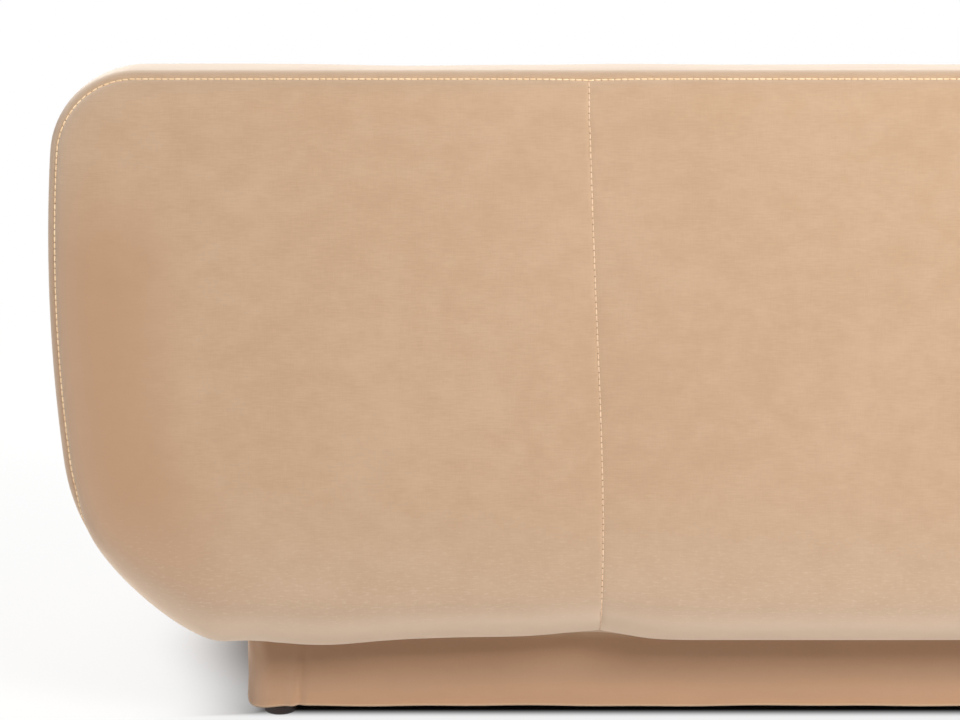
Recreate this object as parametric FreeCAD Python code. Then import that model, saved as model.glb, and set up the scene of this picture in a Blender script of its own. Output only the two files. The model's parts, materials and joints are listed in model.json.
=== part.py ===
import FreeCAD, Part
import math
import os

V = FreeCAD.Vector

# A velvet sofa on a recessed plinth. Millimetres, +Z up, +X the sitter's left, the sitter faces -Y.
# The origin lies on the floor under the middle of the sofa.

# Overall size
width = 1900.0
depth = 900.0
height = 780.0
underside = 107.0

# Outline seen from behind: a long bow at each end, rounded at the bottom and at the top
side_bow_radius = 1900.0
widest_height = 540.0
lower_corner_radius = 250.0
back_corner_radius = 100.0

# Back: a leaning slab, its outside cover sewn from three panels
back_foot_depth = 302.0
back_lean = 9.0
back_seam_bottom = 310.0
back_seam_top = 334.0

# Arms
arm_width = 200.0
arm_height = 600.0
arm_corner_radius = 80.0
arm_inner_radius = 70.0

# Seat
deck_height = 260.0
seat_setback = 15.0
border_top_radius = 18.0
border_bottom_radius = 60.0
cushion_thickness = 170.0
cushion_setback = 5.0
cushion_side_gap = 2.0
cushion_back_gap = 3.0

# Plinth and glides
plinth_end_setback = 214.0
plinth_back_setback = 80.0
plinth_front_setback = 120.0
plinth_corner_radius = 48.0
plinth_block = 62.0
glide_height = 19.0
glide_diameter = 39.0
glide_inset = 38.0
glide_chamfer = 2.5

# Soft layers
cover_thickness = 3.0
layer_gap = 1.0
edge_bevel = 26.0
back_wadding_thickness = 15.0
back_side_foam = 20.0
back_foam_thickness = 80.0
arm_foam_thickness = 20.0
border_foam_thickness = 10.0
deck_pad_thickness = 12.0
dust_cloth_thickness = 1.5

# Webbing
web_width = 60.0
web_thickness = 2.0
seat_web_long_count = 11
seat_web_cross_count = 4
back_web_count = 8
web_end_margin = 6.0

# Timber and plywood
rail_thickness = 30.0
stretcher_height = 90.0
back_rail_thickness = 45.0
plinth_rail_thickness = 25.0
cross_place = 250.0
back_ply = 9.0
back_ply_rise = 58.0
post_thickness = 22.0
post_end_gap = 110.0
back_batten_thickness = 18.0
back_batten_width = 70.0
back_batten_low = 150.0
back_batten_top_gap = 50.0
rib_count = 2
rib_thickness = 18.0
rib_web = 32.0
arm_skin_thickness = 4.0
arm_rail_thickness = 18.0
arm_rail_margin = 3.0
arm_board_rise = 38.0

# Bolts that hold the arms and the back to the seat frame
bolt_diameter = 8.0
bolt_sides = 8
bolt_clearance = 0.5
bolt_head_across = 13.0
bolt_head_sides = 6
bolt_head_height = 5.5
bolt_tail = 12.0
bolt_rise = 78.0
bolt_end_gap = 190.0
bolt_rear_gap = 88.0

# Places that follow from the sizes above
half_width = width / 2
front_y = -depth / 2
rear_y = depth / 2
seat_half = half_width - arm_width
back_foot_y = rear_y - back_foot_depth
foam_start = cover_thickness + layer_gap
base_bottom = underside + cover_thickness
web_level = deck_height - cover_thickness - deck_pad_thickness - 2 * web_thickness - layer_gap
border_front = front_y + seat_setback
border_inset = foam_start + border_foam_thickness
seat_rail_rear = border_front + border_inset + rail_thickness
seat_back_front = back_foot_y - rail_thickness
arm_frame_inset = foam_start + arm_foam_thickness
arm_front = front_y + arm_frame_inset
back_frame_inset = foam_start + back_side_foam
back_ply_rear = rear_y - foam_start - back_wadding_thickness
back_ply_front = back_ply_rear - back_ply
back_web_inset = foam_start + back_foam_thickness
back_post_inset = back_web_inset + web_thickness
back_slope_length = (height - underside) / math.cos(math.radians(back_lean))
back_batten_high = back_slope_length - back_batten_top_gap - back_batten_width
arm_rail_inner = seat_half + arm_inner_radius + arm_rail_margin
arm_rail_outer = half_width - arm_corner_radius - arm_rail_margin
arm_board_bottom = underside + arm_board_rise
bolt_level = underside + bolt_rise
arm_bolt_places = (front_y + bolt_end_gap, back_foot_y - bolt_rear_gap)
back_bolt_places = (bolt_end_gap - seat_half, 0.0, seat_half - bolt_end_gap)
plinth_half = half_width - plinth_end_setback
plinth_rear = rear_y - plinth_back_setback
plinth_front = front_y + plinth_front_setback
far = 2 * (width + depth + height)


# Shared shapes

def box(x0, x1, y0, y1, z0, z1):
    return Part.makeBox(x1 - x0, y1 - y0, z1 - z0, V(x0, y0, z0))


def mirrored(shape):
    return shape.mirror(V(0, 0, 0), V(1, 0, 0))


def group(shapes):
    return Part.Compound(shapes)


def spread(count, first, last):
    """Evenly spaced places from first to last."""
    return [first + (last - first) * i / (count - 1) for i in range(count)]


def edges_on(shape, point, normal):
    """Edges of the shape that lie in the plane through point."""
    found = []
    for edge in shape.Edges:
        middle = (edge.FirstParameter + edge.LastParameter) / 2
        places = [edge.valueAt(t) for t in (edge.FirstParameter, middle, edge.LastParameter)]
        if all(abs((place - point).dot(normal)) < 0.01 for place in places):
            found.append(edge)
    return found


def arc(centre, start, end):
    """The short arc about centre from start to end."""
    middle = (start - centre) + (end - centre)
    reach = (start - centre).Length / middle.Length
    return Part.Arc(start, centre + middle * reach, end).toShape()


def rounded_profile(corners, radii, lift):
    """Face with the given corners, each rounded by its radius; lift turns (a, b) into a point."""
    starts = []
    ends = []
    edges = []
    count = len(corners)
    for i, radius in enumerate(radii):
        corner = lift(*corners[i])
        before = lift(*corners[i - 1])
        after = lift(*corners[(i + 1) % count])
        starts.append(corner + (before - corner).normalize() * radius)
        ends.append(corner + (after - corner).normalize() * radius)
        if radius > 0:
            centre = starts[i] + ends[i] - corner
            edges.append(arc(centre, starts[i], ends[i]))
    for i in range(count):
        edges.append(Part.makeLine(ends[i - 1], starts[i]))
    return Part.Face(Part.Wire(Part.__sortEdges__(edges)))


def hull_prism(top, top_radius, inset, y0, y1):
    """The outline seen from behind, up to the given top, moved inwards by inset and drawn from y0 to y1."""
    bow = V(half_width - side_bow_radius, y0, widest_height)

    def corner_centre(radius, level):
        reach = side_bow_radius - radius
        return V(bow.x + math.sqrt(reach ** 2 - (level - widest_height) ** 2), y0, level)

    def on_bow(centre):
        return bow + (centre - bow).normalize() * (side_bow_radius - inset)

    low = corner_centre(lower_corner_radius, underside + lower_corner_radius)
    high = corner_centre(top_radius, top - top_radius)
    bottom_end = V(low.x, y0, underside + inset)
    top_end = V(high.x, y0, top - inset)
    half = [
        arc(low, bottom_end, on_bow(low)),
        arc(bow, on_bow(low), on_bow(high)),
        arc(high, on_bow(high), top_end),
    ]
    edges = half + [mirrored(edge) for edge in half]
    edges.append(Part.makeLine(V(-low.x, y0, underside + inset), bottom_end))
    edges.append(Part.makeLine(V(-high.x, y0, top - inset), top_end))
    face = Part.Face(Part.Wire(Part.__sortEdges__(edges)))
    return face.extrude(V(0, y1 - y0, 0))


# The leaning inside face of the back

lean_normal = V(0, math.cos(math.radians(back_lean)), -math.sin(math.radians(back_lean)))
lean_foot = V(0, back_foot_y, underside)


def leaned(shape):
    """Stand a shape, made with Y behind the inside face and Z up along it, in its leaning place."""
    shape.rotate(V(0, 0, 0), V(1, 0, 0), -back_lean)
    shape.translate(lean_foot)
    return shape


def ahead_of_back(inset):
    """All the space in front of the inside face, the face moved into the back by inset."""
    return leaned(box(-far, far, -far, inset, -far, far))


def behind_back(inset):
    """All the space behind the inside face, the face moved into the back by inset."""
    return leaned(box(-far, far, inset, far, -far, far))


def lean_y(z, inset):
    """Y of the inside face at height z, the face moved into the back by inset."""
    slope = math.radians(back_lean)
    return back_foot_y + (z - underside) * math.tan(slope) + inset / math.cos(slope)


# Forms of the back and of an arm, with all their faces moved inwards by inset and their soft edges bevelled.

def back_prism(inset):
    prism = hull_prism(height, back_corner_radius, inset, front_y, rear_y - inset)
    return prism.common(behind_back(inset))


def back_form(inset):
    prism = back_prism(inset)
    inside_edges = edges_on(prism, lean_foot + lean_normal * inset, lean_normal)
    rear_edges = edges_on(prism, V(0, rear_y - inset, 0), V(0, 1, 0))
    return prism.makeChamfer(edge_bevel, inside_edges + rear_edges)


def arm_prism(inset):
    """Left arm before its front edge is bevelled, cut off by the back's inside face."""
    prism = hull_prism(arm_height, arm_corner_radius, inset, front_y + inset, rear_y)
    inner = seat_half + inset
    prism = prism.common(box(inner, far, -far, far, -far, far))
    prism = prism.common(ahead_of_back(0))
    inner_edges = edges_on(prism, V(inner, 0, 0), V(1, 0, 0))
    top_edges = edges_on(prism, V(0, 0, arm_height - inset), V(0, 0, 1))
    ridge = [edge for edge in inner_edges if any(edge.isSame(other) for other in top_edges)]
    return prism.makeFillet(arm_inner_radius - inset, ridge)


def arm_form(inset):
    prism = arm_prism(inset)
    return prism.makeChamfer(edge_bevel, edges_on(prism, V(0, front_y + inset, 0), V(0, 1, 0)))


def bar(sides, across, x0, x1):
    """Bar along +X with equal flat sides."""
    corner = across / 2 / math.cos(math.pi / sides)
    points = [V(x0, corner * math.cos(a), corner * math.sin(a)) for a in spread(sides + 1, 0, 2 * math.pi)]
    return Part.Face(Part.makePolygon(points)).extrude(V(x1 - x0, 0, 0))


def bolt(length):
    """Bolt along +X with its head before the origin, long enough for the clamped length."""
    head = bar(bolt_head_sides, bolt_head_across, -bolt_head_height, 0)
    return head.fuse(bar(bolt_sides, bolt_diameter, 0, length + bolt_tail))


def bolt_hole(length):
    return bar(bolt_sides, bolt_diameter + 2 * bolt_clearance, 0, length)


# Plinth

def plinth_outline(inset):
    corners = [
        (-plinth_half + inset, plinth_front + inset),
        (plinth_half - inset, plinth_front + inset),
        (plinth_half - inset, plinth_rear - inset),
        (-plinth_half + inset, plinth_rear - inset),
    ]
    radius = plinth_corner_radius - inset
    return rounded_profile(corners, [radius] * 4, lambda a, b: V(a, b, 0))


def plinth_prism(inset, z0, z1):
    prism = plinth_outline(inset).extrude(V(0, 0, z1 - z0))
    prism.translate(V(0, 0, z0))
    return prism


def glide(x, y):
    """Turned foot under a corner block, its lower rim bevelled."""
    outer = glide_diameter / 2
    outline = [
        (0, 0), (outer - glide_chamfer, 0), (outer, glide_chamfer), (outer, glide_height),
        (0, glide_height), (0, 0),
    ]
    foot = Part.Face(Part.makePolygon([V(r, 0, z) for r, z in outline]))
    foot = foot.revolve(V(0, 0, 0), V(0, 0, 1), 360)
    foot.translate(V(x, y, 0))
    return foot


def plinth():
    low = glide_height
    skin = cover_thickness + layer_gap
    rail_low = low + dust_cloth_thickness
    x0 = plinth_half - skin
    y0 = plinth_front + skin
    y1 = plinth_rear - skin
    body = plinth_prism(skin, low, base_bottom)
    block_x = x0 - plinth_block
    glides = []
    blocks = []
    for sx in (-1, 1):
        for corner_y, sy in ((y0, 1), (y1, -1)):
            inner_y = corner_y + sy * plinth_block
            block = box(min(sx * block_x, sx * x0), max(sx * block_x, sx * x0),
                        min(corner_y, inner_y), max(corner_y, inner_y), low, base_bottom)
            blocks.append(block)
            glides.append(glide(sx * (x0 + skin - glide_inset), corner_y + sy * (glide_inset - skin)))
    corner_blocks = [block.common(body) for block in blocks]
    inner_y0 = y0 + plinth_rail_thickness
    inner_y1 = y1 - plinth_rail_thickness
    end_rail = box(x0 - plinth_rail_thickness, x0, y0 + plinth_block, y1 - plinth_block,
                   rail_low, base_bottom)
    half_rail = plinth_rail_thickness / 2
    cross = box(cross_place - half_rail, cross_place + half_rail, inner_y0, inner_y1, rail_low, base_bottom)
    cloth = plinth_prism(skin + layer_gap, low, rail_low)
    cover = plinth_prism(0, low, underside - layer_gap)
    return {
        "glide_feet": group(glides),
        "plinth_corner_blocks": group(corner_blocks),
        "plinth_front_rail": box(-block_x, block_x, y0, inner_y0, rail_low, base_bottom),
        "plinth_back_rail": box(-block_x, block_x, inner_y1, y1, rail_low, base_bottom),
        "plinth_left_rail": end_rail,
        "plinth_right_rail": mirrored(end_rail),
        "plinth_cross_rail_left": cross,
        "plinth_cross_rail_right": mirrored(cross),
        "plinth_cover": cover.cut(plinth_prism(cover_thickness, low, underside)),
        "dust_cover": cloth.cut(blocks),
    }


# Seat frame, webbing and deck

def seat_prism(inset, top_inset):
    """Seat body between the arms, rounded along its front; inset and top_inset move its faces inwards."""
    corners = [
        (border_front + inset, underside + inset),
        (back_foot_y, underside + inset),
        (back_foot_y, deck_height - top_inset),
        (border_front + inset, deck_height - top_inset),
    ]
    radii = [border_bottom_radius - inset, 0, 0, max(border_top_radius - inset, 0)]
    face = rounded_profile(corners, radii, lambda a, b: V(-seat_half, a, b))
    return face.extrude(V(2 * seat_half, 0, 0))


def seat():
    rear = back_foot_y
    deck_front = seat_rail_rear + layer_gap
    deck_rear = lean_y(web_level, 0) - cushion_back_gap
    pad_level = web_level + 2 * web_thickness
    cloth_level = deck_height - cover_thickness
    side_rail = box(seat_half - rail_thickness, seat_half, seat_rail_rear, seat_back_front,
                    base_bottom, web_level)
    bolts_along_x = []
    for y in arm_bolt_places:
        hole = bolt_hole(rail_thickness)
        hole.translate(V(seat_half - rail_thickness, y, bolt_level))
        bolts_along_x.append(hole)
    lined = seat_prism(cover_thickness, 0)
    side_rail = side_rail.cut(bolts_along_x).common(lined)
    back_rail = box(-seat_half, seat_half, seat_back_front, rear, base_bottom, web_level)
    back_holes = []
    for x in back_bolt_places:
        hole = bolt_hole(rail_thickness)
        hole.rotate(V(0, 0, 0), V(0, 0, 1), 90)
        hole.translate(V(x, seat_back_front, bolt_level))
        back_holes.append(hole)
    half_rail = rail_thickness / 2
    stretcher = box(cross_place - half_rail, cross_place + half_rail, seat_rail_rear, seat_back_front,
                    base_bottom, base_bottom + stretcher_height).common(lined)
    long_front = border_front + border_inset + web_end_margin
    long_rear = rear - web_end_margin
    last = seat_half - web_width
    long_webs = []
    for x in spread(seat_web_long_count, -last, last):
        long_webs.append(box(x - web_width / 2, x + web_width / 2, long_front, long_rear,
                             web_level, web_level + web_thickness))
    cross_end = seat_half - web_end_margin
    cross_webs = []
    for y in spread(seat_web_cross_count, deck_front + web_width, deck_rear - 2 * web_width):
        cross_webs.append(box(-cross_end, cross_end, y - web_width / 2, y + web_width / 2,
                              web_level + web_thickness, pad_level))
    front_bar = box(-far, far, -far, seat_rail_rear, -far, far)
    foam = seat_prism(foam_start, foam_start).cut(seat_prism(border_inset, border_inset))
    cover = seat_prism(0, 0).cut(seat_prism(cover_thickness, cover_thickness))
    under_return = box(-far, far, -far, plinth_front - layer_gap, -far, base_bottom + border_inset)
    return {
        "seat_front_rail": seat_prism(border_inset, deck_height - web_level).common(front_bar),
        "seat_back_rail": back_rail.cut(back_holes),
        "seat_left_rail": side_rail,
        "seat_right_rail": mirrored(side_rail),
        "seat_stretcher_left": stretcher,
        "seat_stretcher_right": mirrored(stretcher),
        "seat_webbing_long": group(long_webs),
        "seat_webbing_cross": group(cross_webs),
        "deck_pad": box(-seat_half + layer_gap, seat_half - layer_gap, deck_front, deck_rear,
                        pad_level, cloth_level - layer_gap),
        "deck_cloth": box(-seat_half + layer_gap, seat_half - layer_gap, deck_front, deck_rear,
                          cloth_level, deck_height),
        "front_border_foam": foam.common(front_bar),
        "front_border_cover": cover.common(front_bar.fuse(under_return)),
    }


# Arms

def arm():
    """Left arm: ribs and rails inside, bent plywood round them, foam and cover outside."""
    inner = seat_half + arm_frame_inset
    board_front = arm_front + rib_thickness
    board_rear = back_foot_y - layer_gap
    board_end = seat_half + rail_thickness
    board = box(seat_half, board_end, board_front, board_rear, arm_board_bottom, web_level)
    board_zone = box(-far, board_end + layer_gap, board_front - layer_gap, far,
                     arm_board_bottom - layer_gap, web_level + layer_gap)
    wood = arm_prism(arm_frame_inset)
    core = arm_prism(arm_frame_inset + arm_skin_thickness)
    rail_top = arm_height - arm_frame_inset - arm_skin_thickness
    opening_inner = inner + arm_skin_thickness + rib_web
    opening_outer = half_width - arm_frame_inset - arm_skin_thickness - rib_web
    opening_bottom = web_level + rib_web
    opening_top = rail_top - arm_rail_thickness - rib_web
    opening = box(opening_inner, opening_outer, -far, far, opening_bottom, opening_top)
    rail = box(arm_rail_inner, arm_rail_outer, arm_front, back_foot_y,
               rail_top - arm_rail_thickness, rail_top)
    ribs = []
    for y in spread(rib_count, arm_front, back_foot_y - rib_thickness):
        rib = core.common(box(-far, far, y, y + rib_thickness, -far, far))
        ribs.append(rib.cut([opening, rail, board]))
    panel_end = inner + arm_skin_thickness
    panel_top = arm_height - arm_inner_radius
    panel_zone = box(inner, panel_end, -far, far, web_level, panel_top)
    skin_zone = box(-far, panel_end, -far, far, -far, panel_top)
    skin = wood.cut(core).cut(board_zone)
    past_front = box(-far, far, board_front, far, -far, far)
    holes = []
    for y in arm_bolt_places:
        hole = bolt_hole(rail_thickness)
        hole.translate(V(seat_half, y, bolt_level))
        holes.append(hole)
    return {
        "arm_cover": arm_form(0).cut(arm_form(cover_thickness)).cut(board_zone),
        "arm_foam": arm_form(foam_start).cut(arm_prism(arm_frame_inset)).cut(board_zone),
        "arm_skin": skin.cut(skin_zone).common(past_front),
        "arm_inner_panel": wood.common(panel_zone).common(past_front),
        "arm_ribs": group(ribs),
        "arm_top_rail": rail,
        "arm_board": board.cut(holes),
    }


# Back

def back_frame():
    bottom_rail_rear = back_foot_y + back_rail_thickness
    holes = []
    for x in back_bolt_places:
        hole = bolt_hole(back_rail_thickness)
        hole.rotate(V(0, 0, 0), V(0, 0, 1), 90)
        hole.translate(V(x, back_foot_y, bolt_level))
        holes.append(hole)
    post_end = half_width - post_end_gap
    post_line = post_end + post_thickness / 2
    low_batten = leaned(box(-post_line, post_line, back_post_inset, back_post_inset + back_batten_thickness,
                            back_batten_low, back_batten_low + back_batten_width))
    high_batten = leaned(box(-post_line, post_line, back_post_inset, back_post_inset + back_batten_thickness,
                             back_batten_high, back_batten_high + back_batten_width))
    body = back_prism(back_frame_inset).common(behind_back(back_post_inset))
    body = body.common(box(-far, far, -far, back_ply_front, -far, far))
    foot = box(-far, far, bottom_rail_rear, plinth_rear, base_bottom, web_level)
    posts = []
    plinth_post = plinth_half - plinth_rail_thickness
    footed = body.fuse(foot)
    for place, form in ((cross_place, footed), (plinth_post, footed), (post_end, body)):
        slab = box(place - post_thickness / 2, place + post_thickness / 2, -far, far, -far, far)
        post = form.common(slab).cut([low_batten, high_batten])
        posts += [post, mirrored(post)]
    ply = hull_prism(height, back_corner_radius, back_frame_inset, back_ply_front, back_ply_rear)
    ply = ply.common(box(-far, far, -far, far, underside + back_ply_rise, far))
    last = seat_half - web_width
    webs = []
    for x in spread(back_web_count, -last, last):
        webs.append(leaned(box(x - web_width / 2, x + web_width / 2, back_web_inset, back_post_inset,
                               back_batten_low + web_end_margin,
                               back_batten_high + back_batten_width - web_end_margin)))
    bottom_rail = box(-seat_half + layer_gap, seat_half - layer_gap, back_foot_y, bottom_rail_rear,
                      base_bottom, web_level)
    return {
        "back_bottom_rail": bottom_rail.cut(holes),
        "back_low_batten": low_batten,
        "back_high_batten": high_batten,
        "back_posts": group(posts),
        "back_panel": ply,
        "back_webbing": group(webs),
    }


def back_upholstery():
    seam_depth = edge_bevel / 2
    rail_zone = box(-seat_half, seat_half, -far, plinth_rear + layer_gap, -far, web_level + layer_gap)
    skin = back_form(0).cut(back_form(cover_thickness)).cut(rail_zone)
    rear_zone = box(-far, far, rear_y - seam_depth, far, -far, far)
    front_zone = ahead_of_back(seam_depth)
    outside = skin.common(rear_zone)
    inside = skin.common(front_zone)
    boxing = skin.cut([front_zone, rear_zone])
    seam_corners = [
        V(-back_seam_bottom, 0, underside), V(back_seam_bottom, 0, underside),
        V(back_seam_top, 0, height), V(-back_seam_top, 0, height), V(-back_seam_bottom, 0, underside),
    ]
    middle = Part.Face(Part.makePolygon(seam_corners)).extrude(V(0, depth, 0))
    outer = outside.cut(middle)
    left_half = box(0, far, -far, far, -far, far)
    padding = back_form(foam_start)
    low_zone = box(-far, far, -far, far, -far, web_level + layer_gap)
    ply_zone = box(-far, far, back_ply_rear, far, -far, far)
    hollow = hull_prism(height, back_corner_radius, back_frame_inset, front_y, rear_y)
    edge = padding.common(behind_back(back_web_inset).fuse(low_zone)).cut([ply_zone, hollow, rail_zone])
    top_zone = box(-seat_half, seat_half, -far, far, arm_height, far)
    bottom_zone = box(-plinth_half - layer_gap, plinth_half + layer_gap, -far, far, -far, arm_height)
    end = edge.cut([top_zone, bottom_zone]).common(left_half)
    return {
        "outside_back_panel_centre": outside.common(middle),
        "outside_back_panel_left": outer.common(left_half),
        "outside_back_panel_right": mirrored(outer.common(left_half)),
        "inside_back_panel_left": inside.common(left_half),
        "inside_back_panel_right": mirrored(inside.common(left_half)),
        "back_boxing": boxing,
        "back_wadding": padding.common(ply_zone),
        "back_foam": padding.common(ahead_of_back(back_web_inset)).cut(low_zone),
        "back_top_foam": edge.common(top_zone),
        "back_bottom_foam": edge.common(bottom_zone),
        "back_end_foam_left": end,
        "back_end_foam_right": mirrored(end),
    }


# Loose seat cushions

def cushion_form(inset):
    block = box(cushion_side_gap + inset, seat_half - cushion_side_gap - inset,
                front_y + cushion_setback + inset, rear_y,
                deck_height + inset, deck_height + cushion_thickness - inset)
    block = block.common(ahead_of_back(-cushion_back_gap - inset))
    return block.makeChamfer(edge_bevel, block.Edges)


def cushion():
    return {
        "seat_cushion_cover": cushion_form(0).cut(cushion_form(cover_thickness)),
        "seat_cushion_core": cushion_form(foam_start),
    }


def bolts():
    across_arm = []
    for y in arm_bolt_places:
        part = bolt(2 * rail_thickness)
        part.translate(V(seat_half - rail_thickness, y, bolt_level))
        across_arm += [part, mirrored(part)]
    across_back = []
    for x in back_bolt_places:
        part = bolt(rail_thickness + back_rail_thickness)
        part.rotate(V(0, 0, 0), V(0, 0, 1), 90)
        part.translate(V(x, seat_back_front, bolt_level))
        across_back.append(part)
    return {"arm_bolts": group(across_arm), "back_bolts": group(across_back)}


def both_sides(pieces):
    """A left piece and its mirror image for each entry."""
    pairs = {}
    for name, shape in pieces.items():
        pairs[name + "_left"] = shape
        pairs[name + "_right"] = mirrored(shape)
    return pairs


nodes = {}
nodes.update(plinth())
nodes.update(seat())
nodes.update(both_sides(arm()))
nodes.update(back_frame())
nodes.update(back_upholstery())
nodes.update(both_sides(cushion()))
nodes.update(bolts())

os.makedirs("parts", exist_ok=True)
for name, shape in nodes.items():
    shape.exportStep("parts/" + name + ".step")
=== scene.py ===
# %% [markdown]
# # A velvet sofa seen from behind
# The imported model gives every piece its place, in metres. This lesson dresses it: the tight back and arms, two loose
# seat cushions, the covered plinth on its glides, the threads in the seams, and the studio. The hard pieces inside
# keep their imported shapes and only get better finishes.

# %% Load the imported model
import bpy
import json
import math
import numpy as np
from collections import namedtuple
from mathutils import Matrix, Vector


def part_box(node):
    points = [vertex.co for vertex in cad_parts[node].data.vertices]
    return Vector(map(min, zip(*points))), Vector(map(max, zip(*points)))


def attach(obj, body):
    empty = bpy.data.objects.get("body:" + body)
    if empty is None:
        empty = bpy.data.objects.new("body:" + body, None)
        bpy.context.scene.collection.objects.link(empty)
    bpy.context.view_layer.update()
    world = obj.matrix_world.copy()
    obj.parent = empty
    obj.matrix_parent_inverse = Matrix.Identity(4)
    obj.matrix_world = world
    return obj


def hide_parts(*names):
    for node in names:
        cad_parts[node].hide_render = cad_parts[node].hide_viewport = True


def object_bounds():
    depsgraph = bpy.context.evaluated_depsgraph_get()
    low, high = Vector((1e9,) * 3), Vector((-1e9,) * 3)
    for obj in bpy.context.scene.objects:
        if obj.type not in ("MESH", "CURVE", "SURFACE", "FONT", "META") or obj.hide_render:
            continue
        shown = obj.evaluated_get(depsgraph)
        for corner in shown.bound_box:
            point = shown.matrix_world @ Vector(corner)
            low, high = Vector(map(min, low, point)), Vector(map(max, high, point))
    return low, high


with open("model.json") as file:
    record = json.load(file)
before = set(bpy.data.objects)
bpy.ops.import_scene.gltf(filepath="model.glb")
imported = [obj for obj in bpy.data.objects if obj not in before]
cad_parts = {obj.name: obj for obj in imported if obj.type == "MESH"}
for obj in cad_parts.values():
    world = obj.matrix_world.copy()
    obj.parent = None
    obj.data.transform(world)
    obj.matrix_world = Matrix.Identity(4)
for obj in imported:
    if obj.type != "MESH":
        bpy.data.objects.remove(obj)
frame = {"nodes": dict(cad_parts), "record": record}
nodes = frame["nodes"]
cad_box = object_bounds()
print("packed box", [round(v, 3) for v in (*cad_box[0], *cad_box[1])])

# %% [markdown]
# ## The camera
# The picture was taken from behind, 9 degrees from above, with the left end of the sofa near the left edge. Only part
# of the sofa fits. The camera could be tracked to a target, but plain numbers are easier to set against a picture. A
# long lens keeps the lines as parallel as they are there.

# %% Camera
camera = bpy.data.objects.new("camera", bpy.data.cameras.new("camera"))
bpy.context.scene.collection.objects.link(camera)
camera.location = (0.455, 3.154, 0.880)
camera.rotation_euler = (math.radians(81), 0, math.radians(180))
camera.data.lens = 90
camera.data.sensor_width = 36
bpy.context.scene.camera = camera
print("camera", tuple(camera.location))

# %% [markdown]
# ## Shader expressions
# A finish is a small graph of nodes. It could be joined link by link in the node editor, but a sum of five noises then
# takes many steps. Here a socket is wrapped in a class, so that `1 - mask * 0.3` adds the Math nodes that it needs, and
# one method makes any other node.

# %% Sums and products of sockets
class Socket:
    """A value in a shader graph. Sums, differences and products of it add Math nodes."""

    def __init__(self, graph, socket):
        self.graph = graph
        self.socket = socket

    def math(self, operation, first, second):
        return self.graph.node("ShaderNodeMath", {"operation": operation}, {0: first, 1: second})

    def __add__(self, other):
        return self.math("ADD", self, other)

    def __sub__(self, other):
        return self.math("SUBTRACT", self, other)

    def __rsub__(self, other):
        return self.math("SUBTRACT", other, self)

    def __mul__(self, other):
        return self.math("MULTIPLY", self, other)

    def __abs__(self):
        return self.math("ABSOLUTE", self, 0.0)

    def at_least(self, other):
        return self.math("MAXIMUM", self, other)

    __radd__, __rmul__ = __add__, __mul__


print("sockets can be added, subtracted and multiplied")

# %% Materials made of nodes
class Finish:
    """A material made of nodes."""

    def __init__(self, name, **constants):
        self.material = bpy.data.materials.new(name)
        self.material.use_nodes = True
        self.tree = self.material.node_tree
        self.shader = self.tree.nodes["Principled BSDF"]
        self.set(**constants)

    def node(self, kind, settings=None, inputs=None, output=0):
        """Any node: its settings, what goes into its inputs, and the output that is wanted."""
        made = self.tree.nodes.new(kind)
        for key, value in (settings or {}).items():
            setattr(made, key, value)
        for key, value in (inputs or {}).items():
            self.feed(made.inputs[key], value)
        return Socket(self, made.outputs[output])

    def feed(self, socket, value):
        """A wrapped socket is linked; anything else is a constant."""
        if isinstance(value, Socket):
            self.tree.links.new(value.socket, socket)
        else:
            socket.default_value = value

    def set(self, **values):
        for key, value in values.items():
            self.feed(self.shader.inputs[key.replace("_", " ")], value)

    def cloth(self):
        """Place on the flat cloth in metres, kept on each soft mesh."""
        return self.node("ShaderNodeAttribute", {"attribute_name": "cloth"}, output="Vector")

    def place(self):
        return self.node("ShaderNodeTexCoord", output="Object")

    def axis(self, vector, index):
        return self.node("ShaderNodeSeparateXYZ", {}, {0: vector}, index)

    def noise(self, vector, scale, detail=2.0, rough=0.5):
        inputs = {"Vector": vector, "Scale": scale, "Detail": detail, "Roughness": rough}
        return self.node("ShaderNodeTexNoise", {}, inputs)

    def streaks(self, vector, scales, detail=2.0, rough=0.5):
        """Noise with its own scale along each axis."""
        stretched = self.node("ShaderNodeVectorMath", {"operation": "MULTIPLY"}, {0: vector, 1: scales})
        return self.noise(stretched, 1.0, detail, rough)

    def range(self, value, low, high, new_low=0.0, new_high=1.0):
        return self.node("ShaderNodeMapRange", {"interpolation_type": "SMOOTHSTEP"},
                         {0: value, 1: low, 2: high, 3: new_low, 4: new_high})

    def mix(self, share, first, second):
        return self.node("ShaderNodeMix", {"data_type": "RGBA"}, {0: share, 6: first, 7: second}, 2)

    def bump(self, height, strength, distance):
        inputs = {"Strength": strength, "Distance": distance, "Height": height}
        self.set(Normal=self.node("ShaderNodeBump", {}, inputs))


def srgb(*levels):
    """A colour as a screen shows it, from 0 to 255, as the linear colour that a shader takes."""
    shown = [level / 255 for level in levels]
    return (*(c / 12.92 if c <= 0.04045 else ((c + 0.055) / 1.055) ** 2.4 for c in shown), 1.0)


print("screen white is", srgb(255, 255, 255))

# %% [markdown]
# ## Velvet
# Velvet is a short dense pile. Seen straight on it shows its deep colour, and along its edges the pile tips catch the
# light, so rounded edges look paler and greyer. Strands of hair could be grown, but a sofa has millions of them, so a
# sheen stands in for the tips. Brushed patches, weft streaks and single fibres come from noise of different sizes, laid
# along the cloth and not along the room.

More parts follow.
